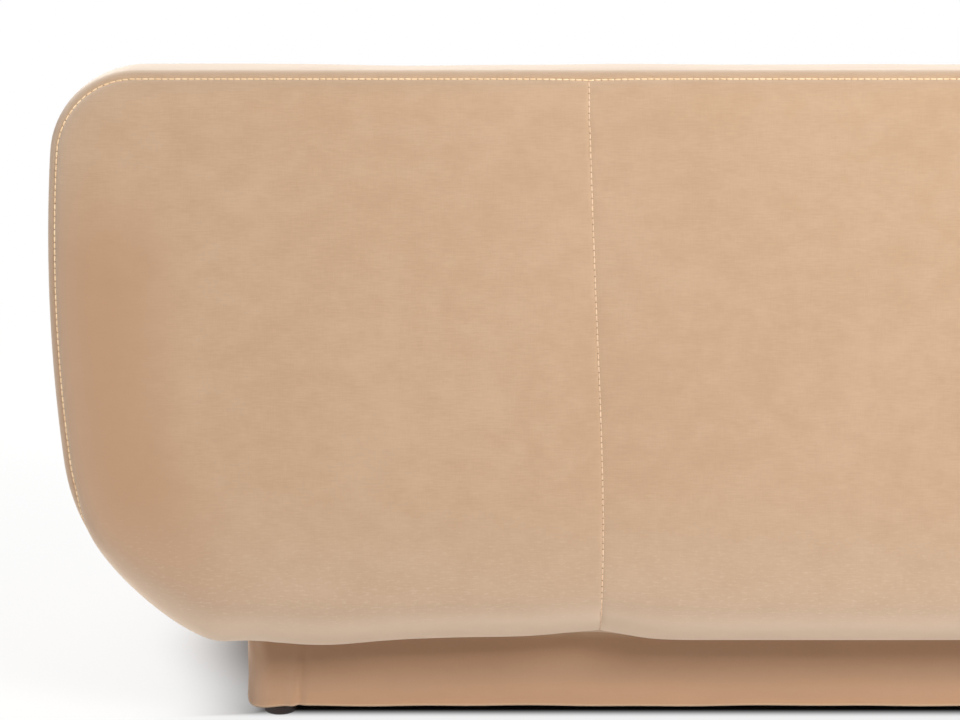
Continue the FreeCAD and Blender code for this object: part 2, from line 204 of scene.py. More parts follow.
# %% Plain pile
def plain_pile(velvet, cloth):
    """Colour of the pile where it lies evenly, and the slow noise of its brushing."""
    brushed = velvet.noise(cloth, 4.0, detail=3.0, rough=0.55)
    patches = velvet.streaks(cloth, (26.0, 34.0, 1.0), detail=3.0, rough=0.6)
    weft = velvet.streaks(cloth, (60.0, 560.0, 1.0), rough=0.6)
    warp = velvet.streaks(cloth, (620.0, 50.0, 1.0), rough=0.6)
    fibres = velvet.noise(cloth, 1500.0, rough=0.6)
    velvet.bump(weft * 0.4 + fibres * 0.4 + patches * 0.5, strength=0.25, distance=0.0005)
    slow = velvet.range(brushed * 0.6 + patches * 0.4, 0.40, 0.60)
    shade = brushed * 0.18 + patches * 0.22 + weft * 0.24 + warp * 0.12 + fibres * 0.24
    hue = velvet.mix(slow, srgb(179, 144, 111), srgb(180, 147, 117))
    tone = velvet.mix(velvet.range(shade, 0.36, 0.64), srgb(166, 133, 102), srgb(195, 161, 129))
    return velvet.mix(0.45, hue, tone), brushed


print("the pile's darker tone is", [round(v, 3) for v in srgb(166, 133, 102)])

# %% [markdown]
# ## Velvet by place
# The pile's colour is changed by place, and these changes are painted light and shade. On the outside back it is
# deeper towards both ends: painted shade. Low down it is greyer, with pale flecks: painted sheen over marks of the
# pile. It is palest where it rolls under: painted light from below. On the plinth it is deep again, most of all near
# the top: painted shade under the overhang. The light alone doesn't give that. The places could be painted by hand,
# but mixing the colour by height, by the distance from the middle and by the direction in which the surface faces
# needs no picture and fits any mesh.

# %% Velvet by place
underside = 0.107
# Colours of painted shade at the ends, painted sheen low down and on its flecks, and painted light where it rolls
# under.
end_shade_pile, low_sheen_pile, fleck_sheen_pile, roll_light_pile = (srgb(167, 125, 88), srgb(183, 159, 138), srgb(214, 190, 168),
                                             srgb(236, 208, 180))


def pile_with_painted_light(velvet, pile, brushed, cloth):
    """The plain pile with the painted light and shade of its place on the sofa."""
    place, normal = velvet.place(), velvet.node("ShaderNodeNewGeometry", output="Normal")
    sideways, rearward, height = abs(velvet.axis(place, 0)), velvet.axis(place, 1), velvet.axis(place, 2)
    turned_back = velvet.range(velvet.axis(normal, 1), 0.30, 0.80)
    turned_under = velvet.range(velvet.axis(normal, 2), -0.20, -0.95)
    reach = sideways + brushed * 0.08 + velvet.range(height, 0.42, 0.12, 0.0, 0.08)
    # Painted shade: deeper and more saturated towards both ends of the outside back, on faces turned to the rear, below
    # about 0.6 m.
    ends = velvet.range(reach, 0.800, 0.925) * turned_back * velvet.range(height, 0.70, 0.54)
    # Painted sheen: greyer and paler towards the lower edge of the hull, from about 0.3 m down, with pale flecks there
    # that are marks of the pile and part of the same painted sheen.
    lowest = velvet.range(height, 0.32, 0.12) * velvet.range(height, underside + 0.001, underside + 0.015)
    flecks = velvet.range(velvet.streaks(cloth, (110.0, 420.0, 1.0), 3.0, 0.7), 0.52, 0.70) * lowest
    # Painted light from below: palest where the surface faces down and rolls under, most of all at the rear.
    painted_roll_light = turned_under * velvet.range(rearward, 0.20, 0.40, 0.35, 1.0)
    for share, other in ((ends * 0.80, end_shade_pile), (lowest * 0.45, low_sheen_pile), (flecks * 0.34, fleck_sheen_pile),
                         (painted_roll_light, roll_light_pile)):
        pile = velvet.mix(share, pile, other)
    # Painted shade under the overhang: the plinth's velvet is deeper towards its top.
    on_plinth = velvet.range(height, underside + 0.001, underside - 0.007) * (1 - turned_under)
    plinth_shade_pile = velvet.mix(velvet.range(height, 0.030, 0.065), srgb(187, 141, 105), srgb(166, 124, 91))
    return velvet.mix(on_plinth * 0.8, pile, plinth_shade_pile)


def make_velvet():
    velvet = Finish("velvet", Roughness=0.9, Specular_IOR_Level=0.10, Sheen_Weight=0.85, Sheen_Roughness=0.68,
                    Sheen_Tint=(1.0, 0.92, 0.84, 1.0))
    cloth = velvet.cloth()
    pile, brushed = plain_pile(velvet, cloth)
    pile = pile_with_painted_light(velvet, pile, brushed, cloth)
    seam = velvet.node("ShaderNodeAttribute", {"attribute_name": "seam"}, output="Fac")
    # Paler close to a seam. On the plinth the same attribute is 3 along the hem: a painted highlight there.
    velvet.set(Base_Color=velvet.mix(seam * 0.25, pile, srgb(203, 169, 133)))
    return velvet.material


velvet = make_velvet()
print("velvet has", len(velvet.node_tree.nodes), "nodes")

# %% [markdown]
# ## Outlines
# Seen from behind, the sofa is one chain of arcs: a flat bottom, a large lower corner, a long bow, a small upper
# corner. A curve object could hold it, but the layers need more than its points. A rim keeps them with their outward
# directions, so that any layer can ask for a place by the distance along it, or for the same outline further in.

# %% Rim of lines and arcs
def distances(points):
    """Distance of each point from the first, along the line that they make."""
    return np.concatenate([[0], np.cumsum(np.linalg.norm(np.diff(points, axis=0), axis=1))])


class Rim:
    """A closed outline, counter-clockwise, asked for points and outward directions by the distance along it."""

    step = 0.002

    def __init__(self):
        self.points = np.zeros((0, 2))
        self.outward = np.zeros((0, 2))

    def add(self, points, outward):
        self.points = np.vstack([self.points, points])
        self.outward = np.vstack([self.outward, outward])

    def line(self, start, end):
        start, end = np.array(start, float), np.array(end, float)
        length = np.linalg.norm(end - start)
        along = (end - start) / length
        share = np.linspace(0, 1, max(2, int(length / self.step)))[:, None]
        self.add(start + share * (end - start), np.tile([along[1], -along[0]], (len(share), 1)))

    def arc(self, centre, radius, start, end):
        turn = np.linspace(start, end, max(3, int(abs(end - start) * radius / self.step)))
        outward = np.column_stack([np.cos(turn), np.sin(turn)])
        self.add(np.array(centre) + radius * outward, outward)

    def close(self):
        self.turn = np.unwrap(np.arctan2(self.outward[:, 1], self.outward[:, 0]))
        self.add(self.points[:1], self.outward[:1])
        self.run = distances(self.points)
        self.length = self.run[-1]
        return self

    def at(self, distance):
        """Points, outward directions and their angles at distances along the rim."""
        wrapped = np.asarray(distance, float) % self.length
        point = np.column_stack([np.interp(wrapped, self.run, self.points[:, i]) for i in (0, 1)])
        way = np.column_stack([np.interp(wrapped, self.run, self.outward[:, i]) for i in (0, 1)])
        way /= np.linalg.norm(way, axis=1)[:, None]
        return point, way, np.arctan2(way[:, 1], way[:, 0])

    def inset(self, distance, by):
        """Points that lie inside the rim, all by the same distance or each by its own."""
        point, way, _ = self.at(distance)
        return point - way * np.reshape(by, (-1, 1))

    def where(self, degrees):
        """Distance at which the outward direction first has this angle, counted on from the start."""
        return float(np.interp(math.radians(degrees), self.turn, self.run[:-1]))


print("a rim has a point every", Rim.step, "m")

# %% Bowed outline
half_width, half_depth, back_top = cad_box[1].x, cad_box[1].y, cad_box[1].z
bow_radius, widest, low_radius, back_radius = 1.9, 0.54, 0.25, 0.100
quarter = math.pi / 2


def hull_arcs(top, top_radius):
    """Lower corner, bow and upper corner at +X, each with its centre, radius, first and last angle."""
    bow = np.array([half_width - bow_radius, widest])

    def corner(radius, level):
        reach = bow_radius - radius
        return np.array([bow[0] + math.sqrt(reach ** 2 - (level - widest) ** 2), level])

    low = corner(low_radius, underside + low_radius)
    high = corner(top_radius, top - top_radius)
    low_turn, high_turn = (math.atan2(c[1] - bow[1], c[0] - bow[0]) for c in (low, high))
    return [(low, low_radius, -quarter, low_turn), (bow, bow_radius, low_turn, high_turn),
            (high, top_radius, high_turn, quarter)]


def hull_rim(top, top_radius):
    """The whole outline: the arcs at +X, the top, and the same arcs mirrored."""
    arcs = hull_arcs(top, top_radius)
    low_x, high_x = arcs[0][0][0], arcs[2][0][0]
    rim = Rim()
    rim.line((0, underside), (low_x, underside))
    for arc in arcs:
        rim.arc(*arc)
    rim.line((high_x, top), (-high_x, top))
    for centre, radius, start, end in arcs[::-1]:
        rim.arc(centre * (-1, 1), radius, math.pi - end, math.pi - start)
    rim.line((-low_x, underside), (0, underside))
    return rim.close()


back_rim = hull_rim(back_top, back_radius)
print("the back's rim is", round(back_rim.length, 3), "m long")

# %% [markdown]
# ## Grids and rings
# A padded piece has two faces and a band between them. It could be a box with a bevel and a subdivision, but then no
# line of the mesh would follow a seam. So each face is a grid that fills its rim, with lines crowded together where a
# seam runs, and the band is a stack of rings round it. All of it is one closed mesh of four-sided faces, which is easy
# to shade and to move by a rule.

# %% Spacing and face grids
def graded(length, first, last, coarse, growth=1.3):
    """Places from 0 to 1 whose steps grow from first, and from last at the other end, up to coarse."""
    def steps(size):
        found = []
        while size < coarse:
            found.append(size)
            size *= growth
        return found

    head, tail = steps(first), steps(last)[::-1]
    middle = length - sum(head) - sum(tail)
    count = max(1, round(middle / coarse))
    sizes = np.array(head + [max(middle, coarse * 0.5) / count] * count + tail)
    places = np.concatenate([[0], np.cumsum(sizes)])
    return places / places[-1]


def filled(bottom, right, top, left):
    """Grid of points between four sides. Bottom and top run the same way, as do right and left."""
    u, v = distances(bottom), distances(right)
    u, v = (u / u[-1])[None, :, None], (v / v[-1])[:, None, None]
    ruled = (1 - v) * bottom[None] + v * top[None] + (1 - u) * left[:, None] + u * right[:, None]
    corners = ((1 - u) * (1 - v) * bottom[0] + u * (1 - v) * bottom[-1]
               + (1 - u) * v * top[0] + u * v * top[-1])
    return ruled - corners


class Layout:
    """Distances along a rim at which a pad's grid lines end: two opposite sides share their count of lines."""

    def __init__(self, bottom, right, top, left):
        self.sides = bottom, right, top, left
        self.ring = np.concatenate([bottom[:-1], right[:-1], top[::-1][:-1], left[::-1][:-1]])
        self.columns, self.rows = len(bottom), len(right)

    def face(self, points_at):
        return filled(*[points_at(side) for side in self.sides])

    def edge(self, grid):
        """What a face grid holds along its border, in the order of the ring."""
        return np.concatenate([grid[0, :-1], grid[:-1, -1], grid[-1, :0:-1], grid[:0:-1, 0]])


print("a metre with fine ends has", len(graded(1.0, 0.0012, 0.0012, 0.009)), "grid lines")

# %% Closed meshes
def pad_faces(layout, ring_count):
    """Faces of a closed pad: the first face's grid, the rings, and the last face's grid."""
    size, count = layout.rows * layout.columns, len(layout.ring)
    first = np.arange(size).reshape(layout.rows, layout.columns)
    last = first + size + ring_count * count
    rings = [layout.edge(first), *(size + j * count + np.arange(count) for j in range(ring_count)), layout.edge(last)]
    faces = [np.stack([first[:-1, :-1], first[:-1, 1:], first[1:, 1:], first[1:, :-1]], -1).reshape(-1, 4),
             np.stack([last[:-1, :-1], last[1:, :-1], last[1:, 1:], last[:-1, 1:]], -1).reshape(-1, 4)]
    for inner, outer in zip(rings, rings[1:]):
        faces.append(np.stack([inner, outer, np.roll(outer, -1), np.roll(inner, -1)], -1))
    return np.vstack(faces)


def make_piece(name, points, faces, material, body, cloth=None, seam=None, flip=False):
    """A smooth mesh that rides on a body. Its place on the cloth and its nearness to a seam are kept as attributes."""
    mesh = bpy.data.meshes.new(name)
    mesh.from_pydata(points.tolist(), [], (faces[:, ::-1] if flip else faces).tolist())
    mesh.polygons.foreach_set("use_smooth", [True] * len(mesh.polygons))
    if cloth is not None:
        flat = np.zeros((len(points), 3))
        flat[:, :2] = cloth
        mesh.attributes.new("cloth", "FLOAT_VECTOR", "POINT").data.foreach_set("vector", flat.ravel())
    if seam is not None:
        mesh.attributes.new("seam", "FLOAT", "POINT").data.foreach_set("value", seam)
    mesh.materials.append(material)
    mesh.update()
    piece = bpy.data.objects.new(name, mesh)
    bpy.context.scene.collection.objects.link(piece)
    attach(piece, body)
    print(name, len(mesh.vertices), "points")
    return piece


print("mesh helpers ready")

# %% [markdown]
# ## Softness
# Cloth over padding is never quite flat. A Displace modifier with a cloud texture could show that. A sum of slow waves
# in fixed directions costs less, needs no random numbers, and can be asked for at any place. Beside a seam the cover
# sinks, in a narrow crease and a wider hollow.

# %% Waves and seam dips
wave_rows = [(9.0, 4.0, 0.3, 1.0), (-5.0, 11.0, 1.9, 0.8), (14.0, -8.0, 4.1, 0.55), (6.0, 19.0, 2.6, 0.45),
             (-23.0, 7.0, 0.9, 0.35), (31.0, 17.0, 5.2, 0.22), (-12.0, 34.0, 3.3, 0.2)]
wave_height = 2.2


def smooth(value, low, high):
    """0 below low, 1 above high, and a soft step between."""
    part = np.clip((np.asarray(value, float) - low) / (high - low), 0.0, 1.0)
    return part * part * (3 - 2 * part)


def hump(distance, reach):
    """1 in the middle, and falling off as a bell does."""
    return np.exp(-(distance / reach) ** 2)


def near(distance, reach):
    """1 on a line, and falling off sharply beside it."""
    return np.exp(-np.abs(distance) / reach)


def waves(a, b):
    """Slow uneven swell over a cloth, about -1 to 1."""
    return sum(share * np.sin(wa * a + wb * b + shift) for wa, wb, shift, share in wave_rows) / wave_height


def dip(distance, crease, soft=0.0, soft_reach=0.04, crease_reach=0.004):
    """How far a surface sinks beside a seam: a narrow crease and a wider hollow."""
    return crease * near(distance, crease_reach) + soft * hump(distance, soft_reach)


print("waves from", round(float(waves(0.2, 0.1)), 2))

# %% [markdown]
# ## The back
# The outside of the back is sewn from three panels, and a boxing strip runs round its edge. The vertical seams stand a
# little slanted, and where one reaches the lower edge it pulls the padding up into a notch. The lower edge rolls under
# with a much larger radius than the ends. The inside face leans and has two panels. Sculpting could give all that, but
# rules by distance keep both ends alike and the seams on lines of the mesh.

# %% Rounding of the back's edges
def inside_round(z):
    """Radius of the inside edge: small where an arm butts against the back, large above it."""
    return 0.012 + 0.024 * smooth(z, 0.56, 0.66)


def from_down(turn):
    """Angle in degrees between a direction and straight down."""
    return np.degrees(np.abs(np.angle(np.exp(1j * (turn + quarter)))))


class OutsideEdge:
    """Section of the outside edge, by the direction in which the rim faces: the panel bends slowly until the seam, and
    the boxing turns the rest with a small radius. Along the bottom the panel alone rolls under."""

    boxing = 0.025
    steps = 40

    def __init__(self, turn):
        facing = from_down(turn)
        low = 1 - smooth(facing, 15, 75)
        under = 1 - smooth(facing, 58, 77)
        self.seam_at = np.radians(40 + 46 * under)
        self.sewn = smooth(facing, 8, 35)
        self.length = 0.058 + 0.047 * low
        self.angles = self.seam_at[:, None] * np.linspace(0, 1, self.steps + 1) ** (2 - low)[:, None]
        self.out = self.summed(np.cos(self.angles))
        self.deep = self.summed(np.sin(self.angles))
        self.reach = self.out[:, -1] + self.boxing * (1 - np.sin(self.seam_at))
        self.depth = self.deep[:, -1] + self.boxing * np.cos(self.seam_at)

    def summed(self, rate):
        """Running total along the panel, by the trapezium rule."""
        parts = (rate[:, 1:] + rate[:, :-1]) / 2 * (self.length / self.steps)[:, None]
        return np.concatenate([np.zeros((len(rate), 1)), np.cumsum(parts, axis=1)], axis=1)

    def panel(self, share):
        """Out, deep and angle at a share of the way from the flat to the seam."""
        k = min(int(share * self.steps), self.steps - 1)
        t = share * self.steps - k
        return [table[:, k] + t * (table[:, k + 1] - table[:, k]) for table in (self.out, self.deep, self.angles)]

    def band(self, share):
        """Out, deep and angle at a share of the way from the seam to the boxing's flat."""
        angle = self.seam_at + share * (quarter - self.seam_at)
        out = self.reach - self.boxing * (1 - np.sin(angle))
        return out, self.depth - self.boxing * np.cos(angle), angle


print("the back's inside edge is rounded by", inside_round(back_top), "m at the top")

# %% Seams and lean of the back
seam_marks = np.array([(0.107, 0.3175), (0.134, 0.316), (0.193, 0.314), (0.264, 0.312), (0.405, 0.318),
                       (0.679, 0.330), (0.780, 0.334)])
seam_bend = np.polyfit(seam_marks[:, 0], seam_marks[:, 1], 4)
lean_angle = math.radians(9)
lean, inside_way = math.tan(lean_angle), np.array([0.0, -math.cos(lean_angle), math.sin(lean_angle)])
back_foot = 0.148


def seam_x(z):
    """X of the outside back's left seam at a height."""
    return np.polyval(seam_bend, z)


def inside_y(z):
    """Y of the leaning inside face at a height."""
    return back_foot + (z - underside) * lean


print("seam at mid height", round(float(seam_x(0.44)), 4))

# %% Lines of the back's grid
seam_step, back_step = 0.0012, 0.009
seam_foot, seam_head = float(seam_x(0.177)), float(seam_x(0.740))


def chain(marks, parts):
    """Distances through several marks, each stretch divided by its own list of places."""
    found = [np.array([marks[0]])]
    for start, end, places in zip(marks, marks[1:], parts):
        found.append(start + (end - start) * places[1:])
    return np.concatenate(found)


def back_layout():
    """Grid lines with a fine group at each seam, and the columns of the seams."""
    low_split, high_split = back_rim.where(-45), back_rim.where(45)
    outer = graded(low_split - seam_foot, seam_step, back_step, back_step)
    inner = graded(seam_foot, seam_step, seam_step, back_step)
    parts = [1 - outer[::-1], inner, inner, outer]
    length, middle = back_rim.length, back_rim.length / 2
    bottom = chain([-low_split, -seam_foot, 0, seam_foot, low_split], parts)
    top = chain([length - high_split, middle + seam_head, middle, middle - seam_head, high_split], parts)
    right = low_split + (high_split - low_split) * graded(high_split - low_split, back_step, back_step, back_step)
    seam = len(outer) - 1
    columns = {"right": seam, "middle": seam + len(inner) - 1, "left": seam + 2 * len(inner) - 2}
    return Layout(bottom, right, top, length - right), columns


back, back_columns = back_layout()
print("back grid", back.rows, "by", back.columns)

# %% [markdown]
# ## The outside face
# The outside cover swells between its seams and sinks along them. Its lower edge isn't straight: it is pulled up at a
# seam, sags in the belly of an end panel, and is fullest at the lower corner, before the plinth. A cloth simulation
# would find the swell, but not where the upholsterer pulled. So one rule gives the surface and one the lower edge, and
# the edge's rings follow the same rules.

# %% Outside face
panel_dip = {"crease": 0.0018, "soft": 0.0016}
thin_seam, wide_seam = 0.0015, 0.0022
corner_x = 0.778


def outside_flat(distance):
    """Where the flat of the outside back ends: the rim moved inwards by its rounding."""
    return back_rim.inset(distance, OutsideEdge(back_rim.at(distance)[2]).reach)


def outside_face():
    """Grid of the outside face in X and Z, with two of its lines along the seams."""
    grid = back.face(outside_flat)
    x, seam = grid[:, :, 0], grid[:, back_columns["left"]]
    shift, reach, end = (seam_x(seam[:, 1]) - seam[:, 0])[:, None], seam[:, :1].copy(), x[:, -1:].copy()
    share = np.where(np.abs(x) <= reach, np.abs(x) / reach, (end - np.abs(x)) / (end - reach))
    grid[:, :, 0] = x + np.sign(x) * shift * np.clip(share, 0, 1)
    return grid


def notch(x):
    """How far the lower edge stands above the underside: pulled up at a seam, lower in the belly of an end panel and at
    the lower corner."""
    beside, corner = np.abs(x) - seam_x(underside), np.abs(x) - corner_x
    centre = 0.0095 * hump(beside, 0.05) - 0.0015
    outer = (0.008 * hump(beside, 0.07) + 0.002 * hump(beside - 0.13, 0.08) - 0.0075 * hump(beside - 0.325, 0.07)
             - 0.016 * hump(corner, np.where(corner < 0, 0.040, 0.090)))
    return np.where(beside < 0, centre, outer)


def outside_relief(x, z, beside):
    """How far the outside cover stands out or sinks in, by its place and its distance from a vertical seam."""
    swell = 0.0025 * (1 - hump(beside, 0.09))
    pucker = 0.0004 * np.sin(z * 620 + 2.0 * np.sin(z * 40)) * near(beside, 0.009)
    return swell - dip(beside, **panel_dip) + pucker + 0.0009 * waves(x, z)


def lowered(points):
    """Give the lower edge its notches and its full corners."""
    share = (1 - smooth(points[:, 2], underside, underside + 0.13)) * smooth(points[:, 1], 0.355, 0.395)
    points[:, 2] += notch(points[:, 0]) * share
    return points


grid = outside_face()
flat = grid.reshape(-1, 2)
beside = np.abs(flat[:, 0]) - seam_x(flat[:, 1])
relief = outside_relief(flat[:, 0], flat[:, 1], beside)
outside_points = lowered(np.column_stack([flat[:, 0], half_depth + relief, flat[:, 1]]))
outside_border = back.edge(relief.reshape(grid.shape[:2]))
outside_seam = near(beside, thin_seam)
print("outside face", len(outside_points), "points")

# %% [markdown]
# ## The edge of the back
# From the flat of the outside face the rings go over the panel's bend to the seam, over the boxing, and round the
# inside edge with its own seam. A Bevel modifier would round all of it alike, but here the radius changes on the way.
# A ring is given by how far out it lies, where it lies in depth and which way it faces, so one small class can collect
# the rings of the back and later those of an arm.

# %% A band of rings
edge_step, panel_bend, inside_bend, arm_bend = 0.006, 0.060, 0.028, 0.027


class Band:
    """Rings round a pad, each with its directions, its places on the cloth and its nearness to a seam."""

    def __init__(self, base, way):
        self.base, self.way = base, way
        self.rings, self.normals, self.cloths, self.seams = [], [], [], []

    def add(self, out, y, angle, sink, cloth, seam=0.0):
        """One ring, out from the base at a depth. It faces by an angle from straight back, and sinks against that."""
        out, angle, sink, seam = (np.broadcast_to(value, y.shape) for value in (out, angle, sink, seam))
        spot = self.base + self.way * out[:, None]
        normal = np.column_stack([self.way[:, 0] * np.sin(angle), np.cos(angle), self.way[:, 1] * np.sin(angle)])
        self.rings.append(np.column_stack([spot[:, 0], y, spot[:, 1]]) - normal * sink[:, None])
        self.normals.append(normal)
        self.cloths.append(cloth)
        self.seams.append(seam)


def seamed_turns(length, coarse, fine):
    """Shares of a rounded edge, with its lines crowded at the seam in the middle."""
    towards = graded(length, coarse, fine, coarse)
    return np.concatenate([0.5 * towards[1:], 0.5 + 0.5 * (1 - towards[::-1])[1:]])


print("the back's inside edge takes", len(seamed_turns(inside_bend, edge_step, seam_step)), "rings")

# %% Rings of the outside edge
boxing_step, mid_height = 0.005, 0.4
edge_dip = {"crease": 0.0022, "soft": 0.0006, "soft_reach": 0.016}
# Each strip is cut from another part of the cloth, so that its noise differs: its places there start at a number of
# metres of its own.
boxing_cloth = back.ring + 20


def outside_rings(band, edge, turn):
    """The panel's bend, which ends at the seam, and the bend of the boxing."""
    beside = np.abs(band.base[:, 0]) - np.where(band.base[:, 1] < mid_height, seam_foot, seam_head)
    crossed = np.where(np.abs(np.abs(turn) - quarter) < math.radians(20), 1.0, 0.0)
    crossing = dip(beside, **panel_dip) * crossed
    for share in graded(panel_bend, edge_step, seam_step, edge_step)[1:]:
        out, deep, angle = edge.panel(share)
        run = edge.length * (1 - share)
        sink = edge.sewn * dip(run, **edge_dip) + crossing - (outside_border + crossing) * (1 - smooth(share, 0, 1))
        seam = np.maximum(edge.sewn * near(run, thin_seam), crossed * near(beside, thin_seam))
        cloth = band.base + band.way * (edge.length * share)[:, None]
        band.add(out, half_depth - deep, angle, sink, cloth, seam)
    seam_ring = len(band.rings) - 1
    for share in graded(edge.boxing, seam_step, boxing_step, boxing_step)[1:]:
        out, deep, angle = edge.band(share)
        run = edge.boxing * (angle - edge.seam_at)
        band.add(out, half_depth - deep, angle, edge.sewn * dip(run, **edge_dip), np.column_stack([boxing_cloth, run]),
                 edge.sewn * near(run, thin_seam))
    return seam_ring


print("the boxing starts", boxing_cloth.min().round(2), "m along the cloth")

# %% Rings of the inside edge
inside_dip = {"crease": 0.0030, "soft": 0.0010, "soft_reach": 0.02}


def inside_rings(band, edge, point):
    """The flat of the boxing, and the inside edge with its seam."""
    radius = inside_round(point[:, 1])
    rear_y, front_y = half_depth - edge.depth, inside_y(point[:, 1]) + radius
    for share in np.linspace(0, 1, 16)[1:]:
        y = rear_y + share * (front_y - rear_y)
        swell = 0.0030 * np.sin(math.pi * share) + 0.0012 * waves(back.ring * 1.3, y)
        last_run = rear_y - y + 0.03
        band.add(edge.reach, y, quarter, -swell, np.column_stack([boxing_cloth, last_run]))
    turns = seamed_turns(inside_bend, edge_step, seam_step)[:-1]
    seam_ring = len(band.rings) + int(np.argmin(np.abs(turns - 0.5)))
    for share in turns:
        turned = (1 - share) * quarter
        out = edge.reach - radius * (1 - math.sin(turned))
        y = inside_y(band.base[:, 1] + band.way[:, 1] * out) + radius * (1 - math.cos(turned))
        run = radius * abs(turned - quarter / 2)
        if share <= 0.5:
            cloth = np.column_stack([boxing_cloth, last_run + share * quarter * radius])
        else:
            cloth = point - band.way * (radius * (1 - turned))[:, None]
        band.add(out, y, math.pi - turned, dip(run, **inside_dip), cloth, near(run, wide_seam))
    return seam_ring


def back_rings():
    """Rings from the flat of the outside face to the flat of the inside face, and which of them are seams."""
    point, way, turn = back_rim.at(back.ring)
    edge = OutsideEdge(turn)
    band = Band(point - way * edge.reach[:, None], way)
    return band, outside_rings(band, edge, turn), inside_rings(band, edge, point)


back_band, rear_seam_ring, inside_seam_ring = back_rings()
back_ring_points = lowered(np.vstack(back_band.rings)).reshape(-1, len(back.ring), 3)
back_normals = np.array(back_band.normals)
print("back rings", len(back_ring_points), "of", back_ring_points.shape[1])

# %% [markdown]
# ## The inside face
# The inside of the back leans by 9 degrees. It is padded above the seat and sewn along its middle. It could be a mesh
# of its own, but then its edge would have to meet the boxing point by point. So both faces and all rings become one
# closed mesh, which takes the place of the back's covers, wadding and foam.

# %% Inside face and the whole back
def inside_face():
    """Points of the leaning inside face, their places on the cloth and their nearness to the middle seam."""
    face = back.face(lambda d: back_rim.inset(d, inside_round(back_rim.at(d)[0][:, 1]))).reshape(-1, 2)
    x, z = face[:, 0], face[:, 1]
    across = np.clip(np.abs(x) / 0.75, 0, 1)
    above = smooth(z, 0.42, 0.54) * (1 - smooth(z, 0.66, 0.745))
    crown = 0.012 * above * (1 - across ** 4) + 0.003 * above
    relief = crown - dip(x, 0.0030, 0.004, soft_reach=0.05) + 0.0015 * waves(x + 3, z) * smooth(z, 0.40, 0.5)
    points = np.column_stack([x, inside_y(z), z]) + relief[:, None] * inside_way
    return points, face, near(x, wide_seam)


inside_points, inside_cloth, inside_seam = inside_face()
back_points = np.vstack([outside_points, back_ring_points.reshape(-1, 3), inside_points])
back_cloth = np.vstack([flat, *back_band.cloths, inside_cloth])
back_seam = np.concatenate([outside_seam, *back_band.seams, inside_seam])
back_piece = make_piece("back_upholstery", back_points, pad_faces(back, len(back_ring_points)), velvet, "frame",
                        back_cloth, back_seam, flip=True)
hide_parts("outside_back_panel_centre", "outside_back_panel_left", "outside_back_panel_right",
            "inside_back_panel_left", "inside_back_panel_right", "back_boxing", "back_wadding", "back_foam",
            "back_top_foam", "back_bottom_foam", "back_end_foam_left", "back_end_foam_right")

# %% [markdown]
# ## The arms
# An arm is a foam block inside the same bowed outline as the back, only lower. Its front is one panel of cloth, and a
# seam joins it to the band that wraps round the arm. The bottom inner corner is almost sharp, because there the arm
# meets the seat, so the rounding of the front has to shrink towards it, which a plain bevel can't do. One arm is made
# and mirrored.

# %% Outline and grid of an arm
arm_top, arm_front, arm_inside = 0.600, -half_depth, 0.750
outer_radius, inner_radius, foot_radius = 0.080, 0.070, 0.012
foot_angle, arm_step = 234, 0.0075


def arm_outline():
    """The bowed outline up to the arm's top, closed by the straight inside and a small foot."""
    arcs = hull_arcs(arm_top, outer_radius)
    low, _, _, low_turn = arcs[0]
    inner = np.array([arm_inside + inner_radius, arm_top - inner_radius])
    reach = arm_inside + foot_radius - low[0]
    foot = low + np.array([reach, -math.sqrt((low_radius - foot_radius) ** 2 - reach ** 2)])
    foot_turn = math.atan2(foot[1] - low[1], foot[0] - low[0])
    rim = Rim()
    rim.arc(low, low_radius, foot_turn, low_turn)
    for arc in arcs[1:]:
        rim.arc(*arc)
    rim.line((arcs[2][0][0], arm_top), (inner[0], arm_top))
    rim.arc(inner, inner_radius, quarter, math.pi)
    rim.line((arm_inside, inner[1]), (arm_inside, foot[1]))
    rim.arc(foot, foot_radius, math.pi, 2 * math.pi + foot_turn)
    return rim.close()


def four_sided(rim, corners, coarse):
    """Layout whose four sides meet where the rim faces these angles: lower left, lower right, upper right and upper
    left."""
    start, low, high, end = (rim.where(angle) for angle in corners)
    first = start - rim.length
    across = graded(low - start + rim.length, coarse, coarse, coarse)
    upright = graded(high - low, coarse, coarse, coarse)
    return Layout(first + (low - first) * across, low + (high - low) * upright,
                  end + (high - end) * across, start + (end - start) * upright)


arm_rim = arm_outline()
arm = four_sided(arm_rim, (foot_angle, -45, 45, 135), arm_step)
print("arm grid", arm.rows, "by", arm.columns)

# %% Rules for an arm
arm_turns = seamed_turns(arm_bend, edge_step, seam_step)
arm_seam_ring = int(np.argmin(np.abs(arm_turns - 0.5)))
arm_dip = {"crease": 0.0026, "soft": 0.0010, "soft_reach": 0.02}
arm_cloth_start, end_round = arm.ring + 4, 0.010


def arm_rounding(distance):
    """Radius of the front edge: small at the foot, where the outline itself turns sharply."""
    half = arm_rim.length / 2
    away = np.abs((distance - arm_rim.where(foot_angle) + half) % arm_rim.length - half)
    return 0.010 + 0.024 * smooth(away, 0.02, 0.22)


def relaxed(grid, rounds=300):
    """Moves each inner point to the middle of its neighbours, so that no cell folds over near the foot."""
    for _ in range(rounds):
        grid[1:-1, 1:-1] = (grid[:-2, 1:-1] + grid[2:, 1:-1] + grid[1:-1, :-2] + grid[1:-1, 2:]) / 4
    return grid


def arm_end(z):
    """Y at which an arm ends inside the back: deeper near the underside, where the back's own edge is rounded."""
    return inside_y(z) + 0.006 + 0.052 * (1 - smooth(z, 0.12, 0.20))


def arm_front_relief(x, z):
    """Slight crown of the front panel."""
    middle = np.exp(-((x - 0.85) / 0.07) ** 2 - ((z - 0.38) / 0.19) ** 2)
    return 0.004 * middle + 0.0009 * waves(x * 1.4 + 7, z * 1.2)


